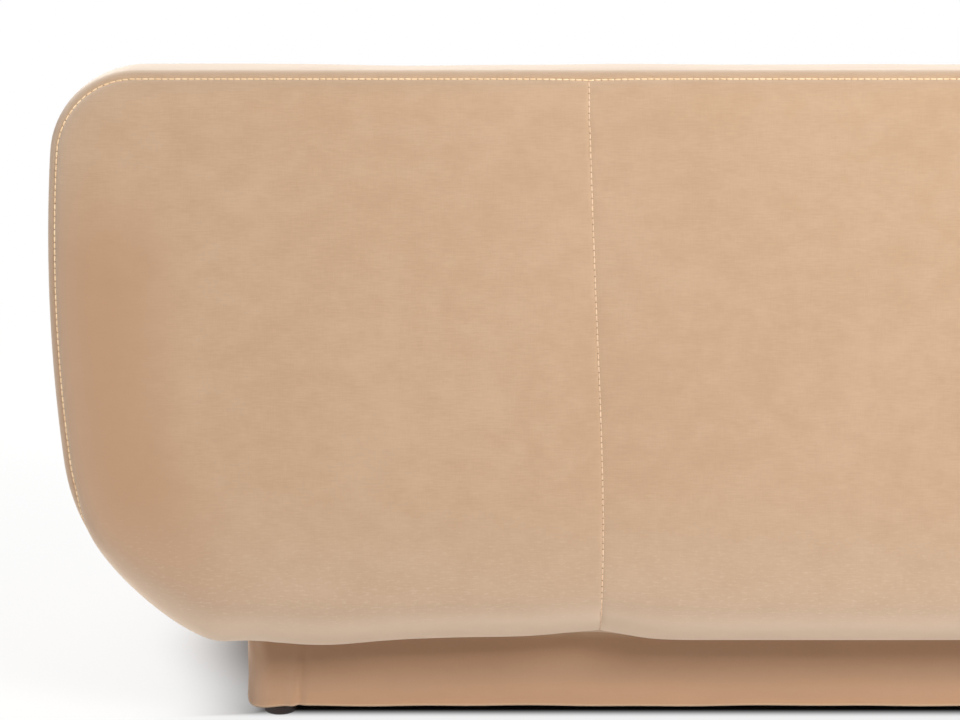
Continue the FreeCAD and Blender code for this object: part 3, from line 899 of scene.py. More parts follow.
def tucked_in(points):
    """Draw the foot in and down behind the front, so that it closes against the seat."""
    share = (1 - smooth(points[:, 2], 0.114, 0.165)) * smooth(points[:, 1], -0.440, -0.380)
    points[:, 2] -= 0.0115 * share * (1 - smooth(points[:, 0], 0.765, 0.815))
    points[:, 0] -= 0.014 * share * (1 - smooth(points[:, 0], 0.752, 0.790))
    return points


print("an arm runs", round(float(arm_end(0.12) - inside_y(0.12)) * 1000), "mm into the back at its foot")

# %% Front, band and rear of an arm
def arm_rings(relief):
    """Rings from the front panel over its seam, along the arm and into the back."""
    point, way, _ = arm_rim.at(arm.ring)
    radius = arm_rounding(arm.ring)
    band = Band(point - way * radius[:, None], way)
    for share in arm_turns:
        turned = share * quarter
        run = radius * abs(turned - quarter / 2)
        sink = dip(run, **arm_dip) - relief * (1 - smooth(share, 0, 0.5))
        on_front = band.base + way * (radius * turned)[:, None]
        cloth = on_front if share <= 0.5 else np.column_stack([arm_cloth_start, -run])
        band.add(radius * math.sin(turned), arm_front + radius * (1 - math.cos(turned)), math.pi - turned, sink, cloth,
                 near(run, wide_seam))
    start_y, end_y = arm_front + radius, arm_end(point[:, 1]) - end_round
    free = 1 - smooth(-way[:, 0], 0.2, 0.8) * (1 - smooth(point[:, 1], 0.42, 0.50))
    for share in np.linspace(0, 1, 44)[1:]:
        y = start_y + share * (end_y - start_y)
        uneven = 0.0012 * waves(arm.ring * 1.2 + 2, y) * smooth(share, 0, 0.1)
        swell = 0.0035 * math.sin(math.pi * share) ** 0.5 + uneven
        band.add(radius, y, quarter, -swell * free, np.column_stack([arm_cloth_start, start_y - y]))
    for turned in np.linspace(quarter, 0, 5)[1:]:
        band.add(radius - end_round * (1 - math.sin(turned)), end_y + end_round * math.cos(turned), turned, 0.0,
                 np.column_stack([arm_cloth_start, start_y - end_y]))
    return band


def arm_shape():
    """Points, cloth and seams of the whole arm, and its band of rings."""
    face = relaxed(arm.face(lambda d: arm_rim.inset(d, arm_rounding(d))))
    front = face.reshape(-1, 2)
    relief = arm_front_relief(front[:, 0], front[:, 1])
    band = arm_rings(arm.edge(relief.reshape(face.shape[:2])))
    rear = relaxed(arm.face(lambda d: arm_rim.inset(d, end_round + 0.0005))).reshape(-1, 2)
    points = np.vstack([np.column_stack([front[:, 0], arm_front - relief, front[:, 1]]), *band.rings,
                        np.column_stack([rear[:, 0], arm_end(rear[:, 1]), rear[:, 1]])])
    cloth = np.vstack([front + (3.0, 0.0), *band.cloths, rear])
    seam = np.concatenate([np.zeros(len(front)), *band.seams, np.zeros(len(rear))])
    return tucked_in(points), cloth, seam, band


arm_points, arm_cloth, arm_seam, arm_band = arm_shape()
print("arm from", arm_points.min(0).round(3), "to", arm_points.max(0).round(3))

# %% Both arms
mirror = np.array([-1.0, 1.0, 1.0])
both_sides = (("left", np.ones(3), False), ("right", mirror, True))
arm_faces = pad_faces(arm, len(arm_band.rings))
for side, sign, flip in both_sides:
    piece = make_piece("arm_" + side, arm_points * sign, arm_faces, velvet, "frame", arm_cloth + (0.0, 0.9 * flip),
                       arm_seam, flip=flip)
    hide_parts("arm_cover_" + side, "arm_foam_" + side)

# %% [markdown]
# ## The seat cushions
# A loose seat cushion is a foam core in a boxed cover: a top and a bottom panel, and a band between them, joined by two
# seams. The foam pushes the panels out and the seams hold them back, which is what a cloth simulation with pressure
# does when the seams are pinned. The simulation runs once on a coarse mesh, and its result is carried over to a finer
# mesh that has lines for the seams.

# %% Outline of a cushion
def rounded_rim(low, high, radius):
    """Rectangle with rounded corners in X and Y, begun in the middle of its -Y side."""
    (x0, y0), (x1, y1) = low, high
    left, right, front, rear, middle = x0 + radius, x1 - radius, y0 + radius, y1 - radius, (x0 + x1) / 2
    rim = Rim()
    rim.line((middle, y0), (right, y0))
    rim.arc((right, front), radius, -quarter, 0)
    rim.line((x1, front), (x1, rear))
    rim.arc((right, rear), radius, 0, quarter)
    rim.line((right, y1), (left, y1))
    rim.arc((left, rear), radius, quarter, 2 * quarter)
    rim.line((x0, rear), (x0, front))
    rim.arc((left, front), radius, 2 * quarter, 3 * quarter)
    rim.line((left, y0), (middle, y0))
    return rim.close()


cushion_low, cushion_high = 0.2603, 0.414
cushion_front, cushion_rear = -0.440, float(inside_y(cushion_low)) - 0.006
cushion_deep = cushion_rear - cushion_front
cushion_middle, cushion_half = 0.375, 0.367
cushion_rim = rounded_rim((0.008, cushion_front), (0.742, cushion_rear), 0.045)
cushion_round, cushion_waist = 0.022, 0.0035
corner_angles = (225, -45, 45, 135)
coarse_cushion = four_sided(cushion_rim, corner_angles, 0.0125)
fine_cushion = four_sided(cushion_rim, corner_angles, 0.0075)
print("the cushion's rim is", round(cushion_rim.length, 3), "m long")

# %% Coarse and fine cushion
Section = namedtuple("Section", "out down length seams")


def at_level(points, level):
    """Flat points at one height, or each at its own."""
    return np.column_stack([points, np.full(len(points), level)])


def cushion_section(step, fine):
    """Way down the side: how far out, how deep below the top, how long, and the two seams' places along it."""
    turns = seamed_turns(cushion_round * math.pi / 4, step, fine) * quarter
    tall = cushion_high - cushion_low
    band = np.linspace(cushion_round, tall - cushion_round, max(3, int((tall - 2 * cushion_round) / step)))[1:]
    out = np.concatenate([np.sin(turns), np.ones(len(band)), np.sin(turns[::-1])[1:]]) * cushion_round
    down = np.concatenate([cushion_round * (1 - np.cos(turns)), band,
                           tall - cushion_round * (1 - np.cos(turns[::-1]))[1:]])
    length = np.cumsum(np.hypot(np.diff(out, prepend=0), np.diff(down, prepend=0)))
    seam = len(turns) // 2 - 1
    return Section(out, down, length, (seam, len(out) - 1 - seam))


def cushion_start(layout, section):
    """Top face, rings and bottom face of the cushion before it swells: drawn in at the sides, leaning with the back."""
    face = layout.face(lambda d: cushion_rim.inset(d, cushion_round)).reshape(-1, 2)
    edge, way = cushion_rim.inset(layout.ring, cushion_round), cushion_rim.at(layout.ring)[1]
    rings = [at_level(edge + way * out, cushion_high - down) for out, down in zip(section.out, section.down)]
    points = np.vstack([at_level(face, cushion_high), *rings, at_level(face, cushion_low)])
    across = (points[:, 0] - cushion_middle) / cushion_half
    deep = (points[:, 1] - (cushion_front + cushion_rear) / 2) / (cushion_deep / 2)
    points[:, 0] -= cushion_waist * across * (1 - deep ** 2).clip(0, 1)
    points[:, 1] -= cushion_waist * deep * (1 - across ** 2).clip(0, 1)
    points[:, 1] += (points[:, 2] - cushion_low) * lean * (points[:, 1] - cushion_front) / cushion_deep
    return points


coarse_section = cushion_section(step=0.0125, fine=0.009)
fine_section = cushion_section(step=0.007, fine=seam_step)
coarse_points = cushion_start(coarse_cushion, coarse_section)
fine_points = cushion_start(fine_cushion, fine_section)
print("cushion", len(coarse_points), "coarse and", len(fine_points), "fine points")

# %% Swell the coarse cushion
def swollen(points, faces, pinned, frames=20, pressure=4.0, most=0.026):
    """How far each point moves when cloth with these fixed points is blown up from inside."""
    mesh = bpy.data.meshes.new("swelling")
    mesh.from_pydata(points.tolist(), [], faces.tolist())
    piece = bpy.data.objects.new("swelling", mesh)
    scene = bpy.context.scene
    scene.collection.objects.link(piece)
    group = piece.vertex_groups.new(name="held")
    group.add([int(i) for i in np.flatnonzero(pinned)], 1.0, "REPLACE")
    cloth = piece.modifiers.new("cloth", "CLOTH")
    settings = cloth.settings
    settings.use_pressure = True
    settings.uniform_pressure_force = pressure
    settings.vertex_group_mass = "held"
    settings.tension_stiffness = settings.compression_stiffness = 12
    settings.bending_stiffness = 0.6
    settings.effector_weights.gravity = 0
    cloth.point_cache.frame_start, cloth.point_cache.frame_end = 1, frames
    for step in range(1, frames + 1):
        scene.frame_set(step)
    shown = piece.evaluated_get(bpy.context.evaluated_depsgraph_get())
    moved = np.zeros(len(points) * 3)
    shown.data.vertices.foreach_get("co", moved)
    bpy.data.objects.remove(piece)
    bpy.data.meshes.remove(mesh)
    scene.frame_set(1)
    move = moved.reshape(-1, 3) - points
    size = np.linalg.norm(move, axis=1, keepdims=True)
    return move * np.minimum(1, most / np.maximum(size, 1e-9))


def cushion_parts(layout, section):
    """Slices of the top face, the rings and the bottom face."""
    face, rings = layout.rows * layout.columns, len(layout.ring) * len(section.out)
    return slice(0, face), slice(face, face + rings), slice(face + rings, None)


def held_points():
    """The upper seam, and all from the lower seam down."""
    _, sides, bottom = cushion_parts(coarse_cushion, coarse_section)
    upper, lower = coarse_section.seams
    held = np.zeros(len(coarse_points), bool)
    held[bottom] = True
    rings = held[sides].reshape(len(coarse_section.out), -1)
    rings[upper] = True
    rings[lower:] = True
    return held


coarse_move = swollen(coarse_points, pad_faces(coarse_cushion, len(coarse_section.out)), held_points())
print("the cushion's top rises by", round(float(coarse_move[:, 2].max()) * 1000, 1), "mm")

# %% Carry the swelling over to the fine cushion
def resampled(values, old, new):
    """Values along the first axis at old places, asked for at new ones and joined by smooth cubic pieces."""
    slope = np.gradient(values, old, axis=0)
    k = np.clip(np.searchsorted(old, new, side="right") - 1, 0, len(old) - 2)
    shape = (-1,) + (1,) * (values.ndim - 1)
    gap = (old[k + 1] - old[k]).reshape(shape)
    t = (new - old[k]).reshape(shape) / gap
    return ((2 * t ** 3 - 3 * t ** 2 + 1) * values[k] + (t ** 3 - 2 * t ** 2 + t) * gap * slope[k]
            + (3 * t ** 2 - 2 * t ** 3) * values[k + 1] + (t ** 3 - t ** 2) * gap * slope[k + 1])


def shares(along):
    return np.abs(along - along[0]) / abs(along[-1] - along[0])


def carried(move):
    """The coarse cushion's movement at the fine cushion's points."""
    old, new = coarse_cushion, fine_cushion

    def face(values):
        values = resampled(values, shares(old.sides[1]), shares(new.sides[1]))
        values = resampled(values.transpose(1, 0, 2), shares(old.sides[0]), shares(new.sides[0]))
        return values.transpose(1, 0, 2).reshape(-1, 3)

    top, sides, bottom = cushion_parts(old, coarse_section)
    top_move, bottom_move = (move[part].reshape(old.rows, old.columns, 3) for part in (top, bottom))
    rings = np.concatenate([old.edge(top_move)[None], move[sides].reshape(-1, len(old.ring), 3)])
    rings = resampled(rings, np.concatenate([[0], coarse_section.length]), fine_section.length)
    rings = np.concatenate([rings[:, -2:], rings, rings[:, :2]], axis=1).transpose(1, 0, 2)
    places = np.concatenate([old.ring[-2:] - cushion_rim.length, old.ring, old.ring[:2] + cushion_rim.length])
    rings = resampled(rings, places, new.ring).transpose(1, 0, 2).reshape(-1, 3)
    return np.vstack([face(top_move), rings, face(bottom_move)])


cushion_points = fine_points + carried(coarse_move)
print("fine cushion from", cushion_points.min(0).round(3), "to", cushion_points.max(0).round(3))

# %% Seams of the cushion
cushion_dip = {"crease": 0.0030, "soft": 0.0008, "soft_reach": 0.016}
cushion_clear, back_clear = (0.0025, 0.7472), 0.002
cushion_way = cushion_rim.at(fine_cushion.ring)[1]
slant = math.sin(math.pi / 4)


def cushion_finish(points):
    """Sink the seams, add the slow swell of used cloth, and keep clear of arm, neighbour, back and deck."""
    length = fine_section.length
    top, sides, _ = cushion_parts(fine_cushion, fine_section)
    rings = points[sides].reshape(len(length), -1, 3)
    seam = np.zeros(rings.shape[:2])
    for index, upward in zip(fine_section.seams, (slant, -slant)):
        run = np.abs(length - length[index])[:, None]
        sink = dip(run, **cushion_dip)
        rings[:, :, :2] -= cushion_way[None] * (sink * slant)[:, :, None]
        rings[:, :, 2] -= sink * upward
        seam = np.maximum(seam, near(run, wide_seam))
    points[sides] = rings.reshape(-1, 3)
    points[top, 2] += 0.0016 * waves(points[top, 0] * 1.5, points[top, 1] * 1.5)
    cloth = points[:, :2].copy()
    down, along = np.meshgrid(-length, fine_cushion.ring + 6, indexing="ij")
    cloth[sides] = np.column_stack([along.ravel(), down.ravel()])
    face_seam = np.zeros(fine_cushion.rows * fine_cushion.columns)
    points[:, 0] = points[:, 0].clip(*cushion_clear)
    points[:, 2] = points[:, 2].clip(cushion_low, None)
    points[:, 1] = np.minimum(points[:, 1], inside_y(points[:, 2]) - back_clear)
    return points, cloth, np.concatenate([face_seam, seam.ravel(), face_seam])


cushion_points, cushion_cloth, cushion_seam = cushion_finish(cushion_points)
cushion_faces = pad_faces(fine_cushion, len(fine_section.out))
for side, sign, flip in both_sides:
    piece = make_piece("seat_cushion_pad_" + side, cushion_points * sign, cushion_faces, velvet,
                       "seat_cushion_" + side, cushion_cloth + (0.0, 1.7 * flip), cushion_seam, flip=flip)
    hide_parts("seat_cushion_cover_" + side, "seat_cushion_core_" + side)

# %% [markdown]
# ## The seat's front
# Below the cushions a padded border closes the seat's front. It has the same section all along, so it could be a curve
# with a bevel object. A loft, which is a closed section repeated with capped ends, lets the swell change on the way.

# %% Front border
def lofted(sections):
    """Points and faces of a closed section, repeated along a line, with both ends capped by four-sided faces."""
    count, size = len(sections), len(sections[0])
    index = np.arange(count * size).reshape(count, size)
    after = np.roll(index, -1, axis=1)
    half = np.arange(size // 2 - 1)
    cap = np.stack([half, half + 1, size - 2 - half, size - 1 - half], -1)
    faces = [np.stack([index[:-1], after[:-1], after[1:], index[1:]], -1).reshape(-1, 4), cap[:, ::-1],
             cap + (count - 1) * size]
    return np.vstack(sections), np.vstack(faces)


def border_section():
    """Section of the front border in Y and Z, from the deck's edge over the front and under the seat."""
    front, rear, top, low, lip = -0.435, -0.382, 0.2598, underside, underside + 0.012
    small, large = 0.018, 0.060
    over, under = np.linspace(0, quarter, 10), np.linspace(math.pi, 3 * quarter, 16)
    path = [(y, top) for y in np.linspace(rear, front + small, 5)[:-1]]
    path += [(front + small - small * math.sin(t), top - small * (1 - math.cos(t))) for t in over]
    path += [(front, z) for z in np.linspace(top - small, low + large, 12)[1:-1]]
    path += [(front + large + large * math.cos(t), low + large + large * math.sin(t)) for t in under]
    path += [(y, low) for y in np.linspace(front + large, -0.328, 5)[1:]]
    path += [(-0.330, lip), (-0.380, lip)]
    path += [(rear, z) for z in np.linspace(lip + 0.002, top - 0.006, 8)]
    return np.array(path)


section = border_section()
border_reach = 0.7515
forward = (smooth(-section[:, 0], 0.36, 0.43) * smooth(section[:, 1], 0.11, 0.16)
           * (1 - smooth(section[:, 1], 0.22, 0.2595)))
border_sections, border_cloth = [], []
for x in np.linspace(-border_reach, border_reach, 160):
    swell = 0.004 * forward + 0.0009 * waves(x * 1.3 + 5, section[:, 1] * 2) * forward
    border_sections.append(np.column_stack([np.full(len(section), x), section[:, 0] - swell, section[:, 1]]))
    border_cloth.append(np.column_stack([np.full(len(section), x + 9), -distances(section)]))
border_points, border_faces = lofted(border_sections)
border = make_piece("front_border", border_points, border_faces, velvet, "frame", np.vstack(border_cloth))
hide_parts("front_border_cover", "front_border_foam")

# %% [markdown]
# ## The deck
# A plain lining covers the deck that the cushions lie on, and shows when a cushion is lifted. A plane would do for the
# cloth, but a pad with a small rounded edge has the thickness of the felt below it. It is made in the same way as the
# other pads, with a woven finish of its own.

# %% Deck lining
deck_low, deck_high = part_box("deck_cloth")
deck_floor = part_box("deck_pad")[0].z
deck_level, lining_round = deck_high.z - 0.0016, 0.005
deck_rim = rounded_rim((deck_low.x, deck_low.y), (deck_high.x, float(inside_y(deck_high.z)) + 0.004), 0.012)
deck = four_sided(deck_rim, corner_angles, 0.014)


def make_lining():
    lining = Finish("lining", Roughness=0.85, Specular_IOR_Level=0.2, Sheen_Weight=0.15, Sheen_Roughness=0.5)
    cloth = lining.cloth()
    warp, weft = (lining.streaks(cloth, scales, detail=1.0) for scales in ((900.0, 60.0, 1.0), (60.0, 900.0, 1.0)))
    weave = warp * 0.5 + weft * 0.5
    lining.set(Base_Color=lining.mix(lining.range(weave, 0.35, 0.65), srgb(150, 120, 96), srgb(182, 152, 126)))
    lining.bump(weave, strength=0.4, distance=0.0004)
    return lining.material


def deck_shape():
    """Rings of points: the lining's top, its rounded edge, the side of the pad and the pad's underside."""
    face = deck.face(lambda d: deck_rim.inset(d, lining_round)).reshape(-1, 2)
    border, way = deck_rim.inset(deck.ring, lining_round), deck_rim.at(deck.ring)[1]
    rings = []
    for turned in np.linspace(0, quarter, 5)[1:]:
        level = deck_level - lining_round * (1 - math.cos(turned))
        rings.append(at_level(border + way * lining_round * math.sin(turned), level))
    rings.append(rings[-1] + (0, 0, -0.5 * (rings[-1][0, 2] - deck_floor)))
    top = at_level(face, deck_level + 0.0010 * waves(face[:, 0] * 2 + 1, face[:, 1] * 2))
    return np.vstack([top, *rings, at_level(face, deck_floor)]), len(rings)


deck_points, deck_ring_count = deck_shape()
deck_piece = make_piece("deck_lining", deck_points, pad_faces(deck, deck_ring_count), make_lining(), "frame",
                        deck_points[:, :2])
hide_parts("deck_cloth", "deck_pad")

# %% [markdown]
# ## The plinth cover
# A strip of the same velvet is stretched round the plinth's rails and turned under at the bottom. At each corner the
# spare cloth is laid into a pleat, which hangs a little lower than the rest. A simulation could fold it, but not where
# the pleats are wanted, so they are humps along the strip. The strip is a band that is closed in both directions: out,
# down, round the hem and up again inside.

# %% Folds of the plinth cover
plinth_rim = rounded_rim((-0.736, -0.330), (0.736, 0.370), 0.034)
plinth_top, plinth_hem = 0.1125, 0.0195
plinth_step, plinth_thick, hem_height = 0.004, 0.0030, 0.0016
plinth_run = np.linspace(0, plinth_rim.length, int(plinth_rim.length / plinth_step), endpoint=False)
plinth_corners = np.array([plinth_rim.where(angle) for angle in (-45, 45, 135, 225)])
# Seam value along the hem: a painted highlight, paler than the rest of the strip.
hem_highlight = 3.0


def plinth_fold(level):
    """How far the strip stands out: pleats at the corners, drawn creases below the top, slow unevenness elsewhere."""
    rise = np.clip((level - plinth_hem) / (plinth_top - plinth_hem), 0, 1)
    total = 0.0007 * waves(plinth_run * 2.3, level * 9)
    for corner in plinth_corners:
        away = plinth_run - corner
        pleat = away - 0.052 - 0.010 * (rise - 0.4)
        second = away + 0.044 + 0.014 * (rise - 0.5)
        fold = (0.0030 * hump(pleat, 0.005) - 0.0034 * hump(pleat - 0.008, 0.0045)
                + 0.0018 * hump(second, 0.006) - 0.0018 * hump(second + 0.010, 0.006))
        drawn = 0.0012 * np.sin(away * 260 + rise * 5) * hump(away, 0.035) * smooth(rise, 0.45, 0.95)
        total = total + fold * (1 - 0.55 * rise) + drawn
    return total


def plinth_lowest():
    """Height of the hem: it hangs lower at the pleats."""
    low = plinth_hem + 0.0004 * np.sin(plinth_run * 19) + 0.0003 * np.sin(plinth_run * 47 + 1)
    return low - 0.0042 * sum(hump(plinth_run - corner, 0.028) for corner in plinth_corners)


print("the hem hangs lowest at", round(float(plinth_lowest().min()), 4), "m")

# %% Plinth band
def plinth_shape():
    """Rings from the top down the outside, round the hem and up inside, with their cloth and the painted highlight
    along their hem.
    """
    point, way, _ = plinth_rim.at(plinth_run)
    low = plinth_lowest()
    rings, cloths, wear_and_highlight = [], [], []

    def add(stand, level, cloth_level, hem_light):
        rings.append(np.column_stack([point + way * stand[:, None], level]))
        cloths.append(np.column_stack([plinth_run + 12, cloth_level]))
        wear_and_highlight.append(np.full(len(plinth_run), hem_light))

    for share in (*np.linspace(1, 0.04, 19), 0.022, 0.012, 0.0):
        level = low + share * (plinth_top - low)
        stand = plinth_fold(level) + 0.0010 * (1 - smooth(level - low, 0.0, 0.006))
        add(stand, level, level, hem_highlight if share < 0.02 else 0.0)
    for turned in np.linspace(0, math.pi, 8)[1:]:
        out = 0.0010 - (plinth_thick / 2 + 0.0005) * (1 - math.cos(turned))
        add(plinth_fold(low) + out, low - hem_height * math.sin(turned), low - 0.002, hem_highlight)
    for share in (0.3, 0.65, 1.0):
        level = low + share * (plinth_top - low)
        add(plinth_fold(level) * (1 - share * 0.3) - plinth_thick, level, level, 0.0)
    return np.array(rings), np.vstack(cloths), np.concatenate(wear_and_highlight)


plinth_rings, plinth_cloth, plinth_hem_highlight = plinth_shape()
layers, count = plinth_rings.shape[:2]
index = np.arange(layers * count).reshape(layers, count)
below, beyond = np.roll(index, -1, axis=0), np.roll(index, -1, axis=1)
band_faces = np.stack([index, below, np.roll(below, -1, axis=1), beyond], -1).reshape(-1, 4)
# The hem's painted highlight goes into the seam attribute.
plinth = make_piece("plinth_strip", plinth_rings.reshape(-1, 3), band_faces, velvet, "frame", plinth_cloth, plinth_hem_highlight)
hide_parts("plinth_cover")

# %% [markdown]
# ## The dust cover
# A thin black sheet of pressed fibres closes the underside between the plinth's rails. A plane with a Solidify modifier
# would look much the same. The pad helpers are at hand, and one ring closes the edge of a pad that is a little over a
# millimetre thick and sags slightly between its staples.

# %% Dust cover
dust_x, dust_front, dust_rear = 0.731, -0.325, 0.365
dust_rim = rounded_rim((-dust_x, dust_front), (dust_x, dust_rear), 0.045)
dust = four_sided(dust_rim, corner_angles, 0.022)


def make_dust_cloth():
    dust = Finish("dust_cloth", Roughness=0.95, Specular_IOR_Level=0.1)
    pressed = dust.noise(dust.place(), 260.0, detail=3.0, rough=0.7)
    dust.set(Base_Color=dust.mix(pressed, srgb(18, 16, 17), srgb(38, 34, 34)))
    dust.bump(pressed, strength=0.3, distance=0.0004)
    return dust.material


def dust_shape():
    """Upper face, one ring at the edge, and lower face."""
    face = dust.face(lambda d: dust_rim.inset(d, 0.002)).reshape(-1, 2)
    x, y = face[:, 0], face[:, 1]
    inner = smooth(dust_x - np.abs(x), 0, 0.12) * smooth(np.minimum(y - dust_front, dust_rear - y), 0, 0.12)
    sag = inner * (0.0018 + 0.0012 * waves(x * 1.5, y * 1.5))
    return np.vstack([at_level(face, 0.0205 - sag), at_level(dust_rim.at(dust.ring)[0], 0.0198),
                      at_level(face, 0.0191 - sag)])


dust_piece = make_piece("dust_sheet", dust_shape(), pad_faces(dust, 1), make_dust_cloth(), "frame")
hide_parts("dust_cover")

# %% [markdown]
# ## The glides
# Four turned glides are nailed under the plinth's corners: a moulded dark brown body with a rounded foot. A glide could
# be a profile with a Screw modifier. Here each ring of points is a circle, and the border's loft joins the rings and
# caps both ends.

# %% Glides
glide_section = [(0.0090, 0.0190), (0.0140, 0.0190), (0.0152, 0.0186), (0.0158, 0.0176), (0.0158, 0.0140),
                 (0.0166, 0.0128), (0.0184, 0.0120), (0.0192, 0.0112), (0.0195, 0.0100), (0.0195, 0.0048),
                 (0.0192, 0.0032), (0.0184, 0.0018), (0.0172, 0.0008), (0.0158, 0.0002), (0.0140, 0.0), (0.0060, 0.0)]
glide_places = [(0.698, 0.332), (-0.698, 0.332), (0.698, -0.292), (-0.698, -0.292)]


def make_glide_plastic():
    plastic = Finish("glide_plastic", Specular_IOR_Level=0.45)
    grain = plastic.noise(plastic.place(), 900.0)
    smear = plastic.noise(plastic.place(), 60.0, detail=3.0, rough=0.6)
    plastic.set(Base_Color=plastic.mix(plastic.range(smear, 0.35, 0.7), srgb(58, 44, 40), srgb(78, 62, 57)),
                Roughness=0.34 + smear * 0.22)
    plastic.bump(grain, strength=0.25, distance=0.0002)
    return plastic.material


def glides():
    """Points and faces of the four turned glides."""
    turn = np.linspace(0, 2 * math.pi, 48, endpoint=False)
    circle = np.column_stack([np.cos(turn), -np.sin(turn)])
    made = [lofted([at_level(np.array(place) + radius * circle, z) for radius, z in glide_section])
            for place in glide_places]
    size = len(made[0][0])
    return np.vstack([points for points, _ in made]), np.vstack([faces + k * size for k, (_, faces) in enumerate(made)])


glide_piece = make_piece("turned_glides", *glides(), make_glide_plastic(), "frame")
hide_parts("glide_feet")

# %% [markdown]
# ## Stitches
# A thread shows as a row of short beads along each seam, with a needle hole between one bead and the next. The hole
# is a small dark bead: painted shade in the hole. The seams round the edges have a thick golden thread, and those
# between two panels a thinner, paler one. A bump could only hint at them. Small closed forms, repeated along the
# seam's own line of points, catch the light and follow every curve.

# %% Thread and needle holes
def make_thread(name, dark, pale):
    thread = Finish(name, Roughness=0.55, Specular_IOR_Level=0.35, Sheen_Weight=0.2)
    twist, wear_and_highlight = thread.noise(thread.place(), 1600.0, detail=1.0), thread.noise(thread.place(), 90.0)
    thread.set(Base_Color=thread.mix(thread.range(twist * 0.6 + wear_and_highlight * 0.4, 0.35, 0.65), dark, pale))
    thread.bump(twist, strength=0.4, distance=0.0002)
    return thread.material


def make_hole_shade():
    # Painted shade: the hole is a dark brown bead that stands for the shade in the hole.
    hole = Finish("needle_hole", Roughness=0.95, Specular_IOR_Level=0.05)
    depth = hole.noise(hole.place(), 1500.0, detail=1.0)
    hole.set(Base_Color=hole.mix(depth, srgb(66, 46, 34), srgb(96, 70, 52)))
    return hole.material


gold_thread = make_thread("gold_thread", srgb(234, 196, 152), srgb(253, 230, 194))
pale_thread = make_thread("pale_thread", srgb(214, 181, 149), srgb(238, 210, 181))
needle_hole = make_hole_shade()
print("threads", gold_thread.name, "and", pale_thread.name)

# %% Beads along a seam
stitch_shape = [(-0.0034, 0.0004, 0.0003), (-0.0028, 0.0009, 0.0007), (-0.0010, 0.0011, 0.0010),
                (0.0010, 0.0011, 0.0010), (0.0028, 0.0009, 0.0007), (0.0034, 0.0004, 0.0003)]
hole_shape = [(-0.0006, 0.0002, 0.0001), (-0.0003, 0.0005, 0.0003), (0.0003, 0.0005, 0.0003),
              (0.0006, 0.0002, 0.0001)]
stitch_pitch, bead_sides, glance = 0.0074, 6, 0.001


def unit(vectors):
    return vectors / np.linalg.norm(vectors, axis=1)[:, None]


def beads(line, normal, shape, offset, lift):
    """Small closed forms along a line of points. Shape lists places along, half widths and half heights."""
    run = distances(line)
    count = max(1, int(run[-1] / stitch_pitch))
    spots = (np.arange(count) + 0.5 + offset) * run[-1] / count
    spots = spots[spots < run[-1]]

    def at(distance, values):
        return np.column_stack([np.interp(distance, run, values[:, i]) for i in range(3)])

    along = unit(at(np.minimum(spots + glance, run[-1]), line) - at(np.maximum(spots - glance, 0), line))
    up = at(spots, normal)
    up = unit(up - along * (up * along).sum(1)[:, None])
    side = np.cross(up, along)
    turn = np.arange(bead_sides) * 2 * math.pi / bead_sides
    rings = []
    for place, wide, high in shape:
        ring = (at(spots, line) + along * place + up * lift)[:, None]
        ring = ring + side[:, None] * (wide * np.cos(turn))[None, :, None]
        rings.append(ring + up[:, None] * (high * np.sin(turn))[None, :, None])
    return np.stack(rings, 1)


def bead_faces(rings):
    """Points and faces of all beads: six-sided rings joined, with both ends capped."""
    spots, count = rings.shape[:2]
    quads = lofted([np.zeros((bead_sides, 3))] * count)[1]
    faces = quads[None] + (np.arange(spots) * count * bead_sides)[:, None, None]
    return rings.reshape(-1, 3), faces.reshape(-1, 4)


def sew(name, lines, body, thread, size, hole):
    """Stitches and needle holes along several lines, as two pieces. Size and hole are 1 for the thickest."""
    for kind, shape, offset, lift, material, scale in (("stitches", stitch_shape, 0.0, 0.0006, thread, size),
                                                       ("needle_holes", hole_shape, 0.5, 0.0003, needle_hole, hole)):
        scaled = [(place, wide * scale, high * scale) for place, wide, high in shape]
        rings = np.concatenate([beads(line, normal, scaled, offset, lift * scale) for line, normal in lines])
        piece = make_piece(name + "_" + kind, *bead_faces(rings), material, body)


print("a stitch is", round(2000 * stitch_shape[-1][0], 1), "mm long")

# %% Seam lines of the back
seat_level, arm_foot_level, lowest_facing = 0.42, 0.135, 40


def open_run(points, normals, keep):
    """The longest stretch of a closed ring for which keep holds."""
    start = int(np.flatnonzero(~keep & np.roll(keep, -1))[0]) + 1
    points, normals, keep = (np.roll(a, -start, axis=0) for a in (points, normals, keep))
    end = int(np.argmin(keep))
    return points[:end], normals[:end]


def top_of(column):
    """Place in the ring at which a column of the back's grid ends at the top."""
    return (back.columns - 1) + (back.rows - 1) + (back.columns - 1 - column)


def outside_seam_line(column):
    """One vertical seam, from the lower edge to the upper, over the flat and both rounded edges."""
    part, top = slice(0, rear_seam_ring, 2), top_of(column)
    straight = outside_points.reshape(back.rows, back.columns, 3)[:, column]
    points = [back_ring_points[part, column][::-1], straight, back_ring_points[part, top]]
    normals = [back_normals[part, column][::-1], np.tile([0.0, 1.0, 0.0], (back.rows, 1)), back_normals[part, top]]
    return np.vstack(points), np.vstack(normals)


def inside_seam_line(column):
    """The inside back's middle seam, from the cushions up to the seam of the inside edge."""
    part, top = slice(None, inside_seam_ring, -1), top_of(column)
    straight = inside_points.reshape(back.rows, back.columns, 3)[:, column]
    straight = straight[straight[:, 2] > seat_level]
    normals = [np.tile(inside_way, (len(straight), 1)), back_normals[part, top]]
    return np.vstack([straight, back_ring_points[part, top]]), np.vstack(normals)


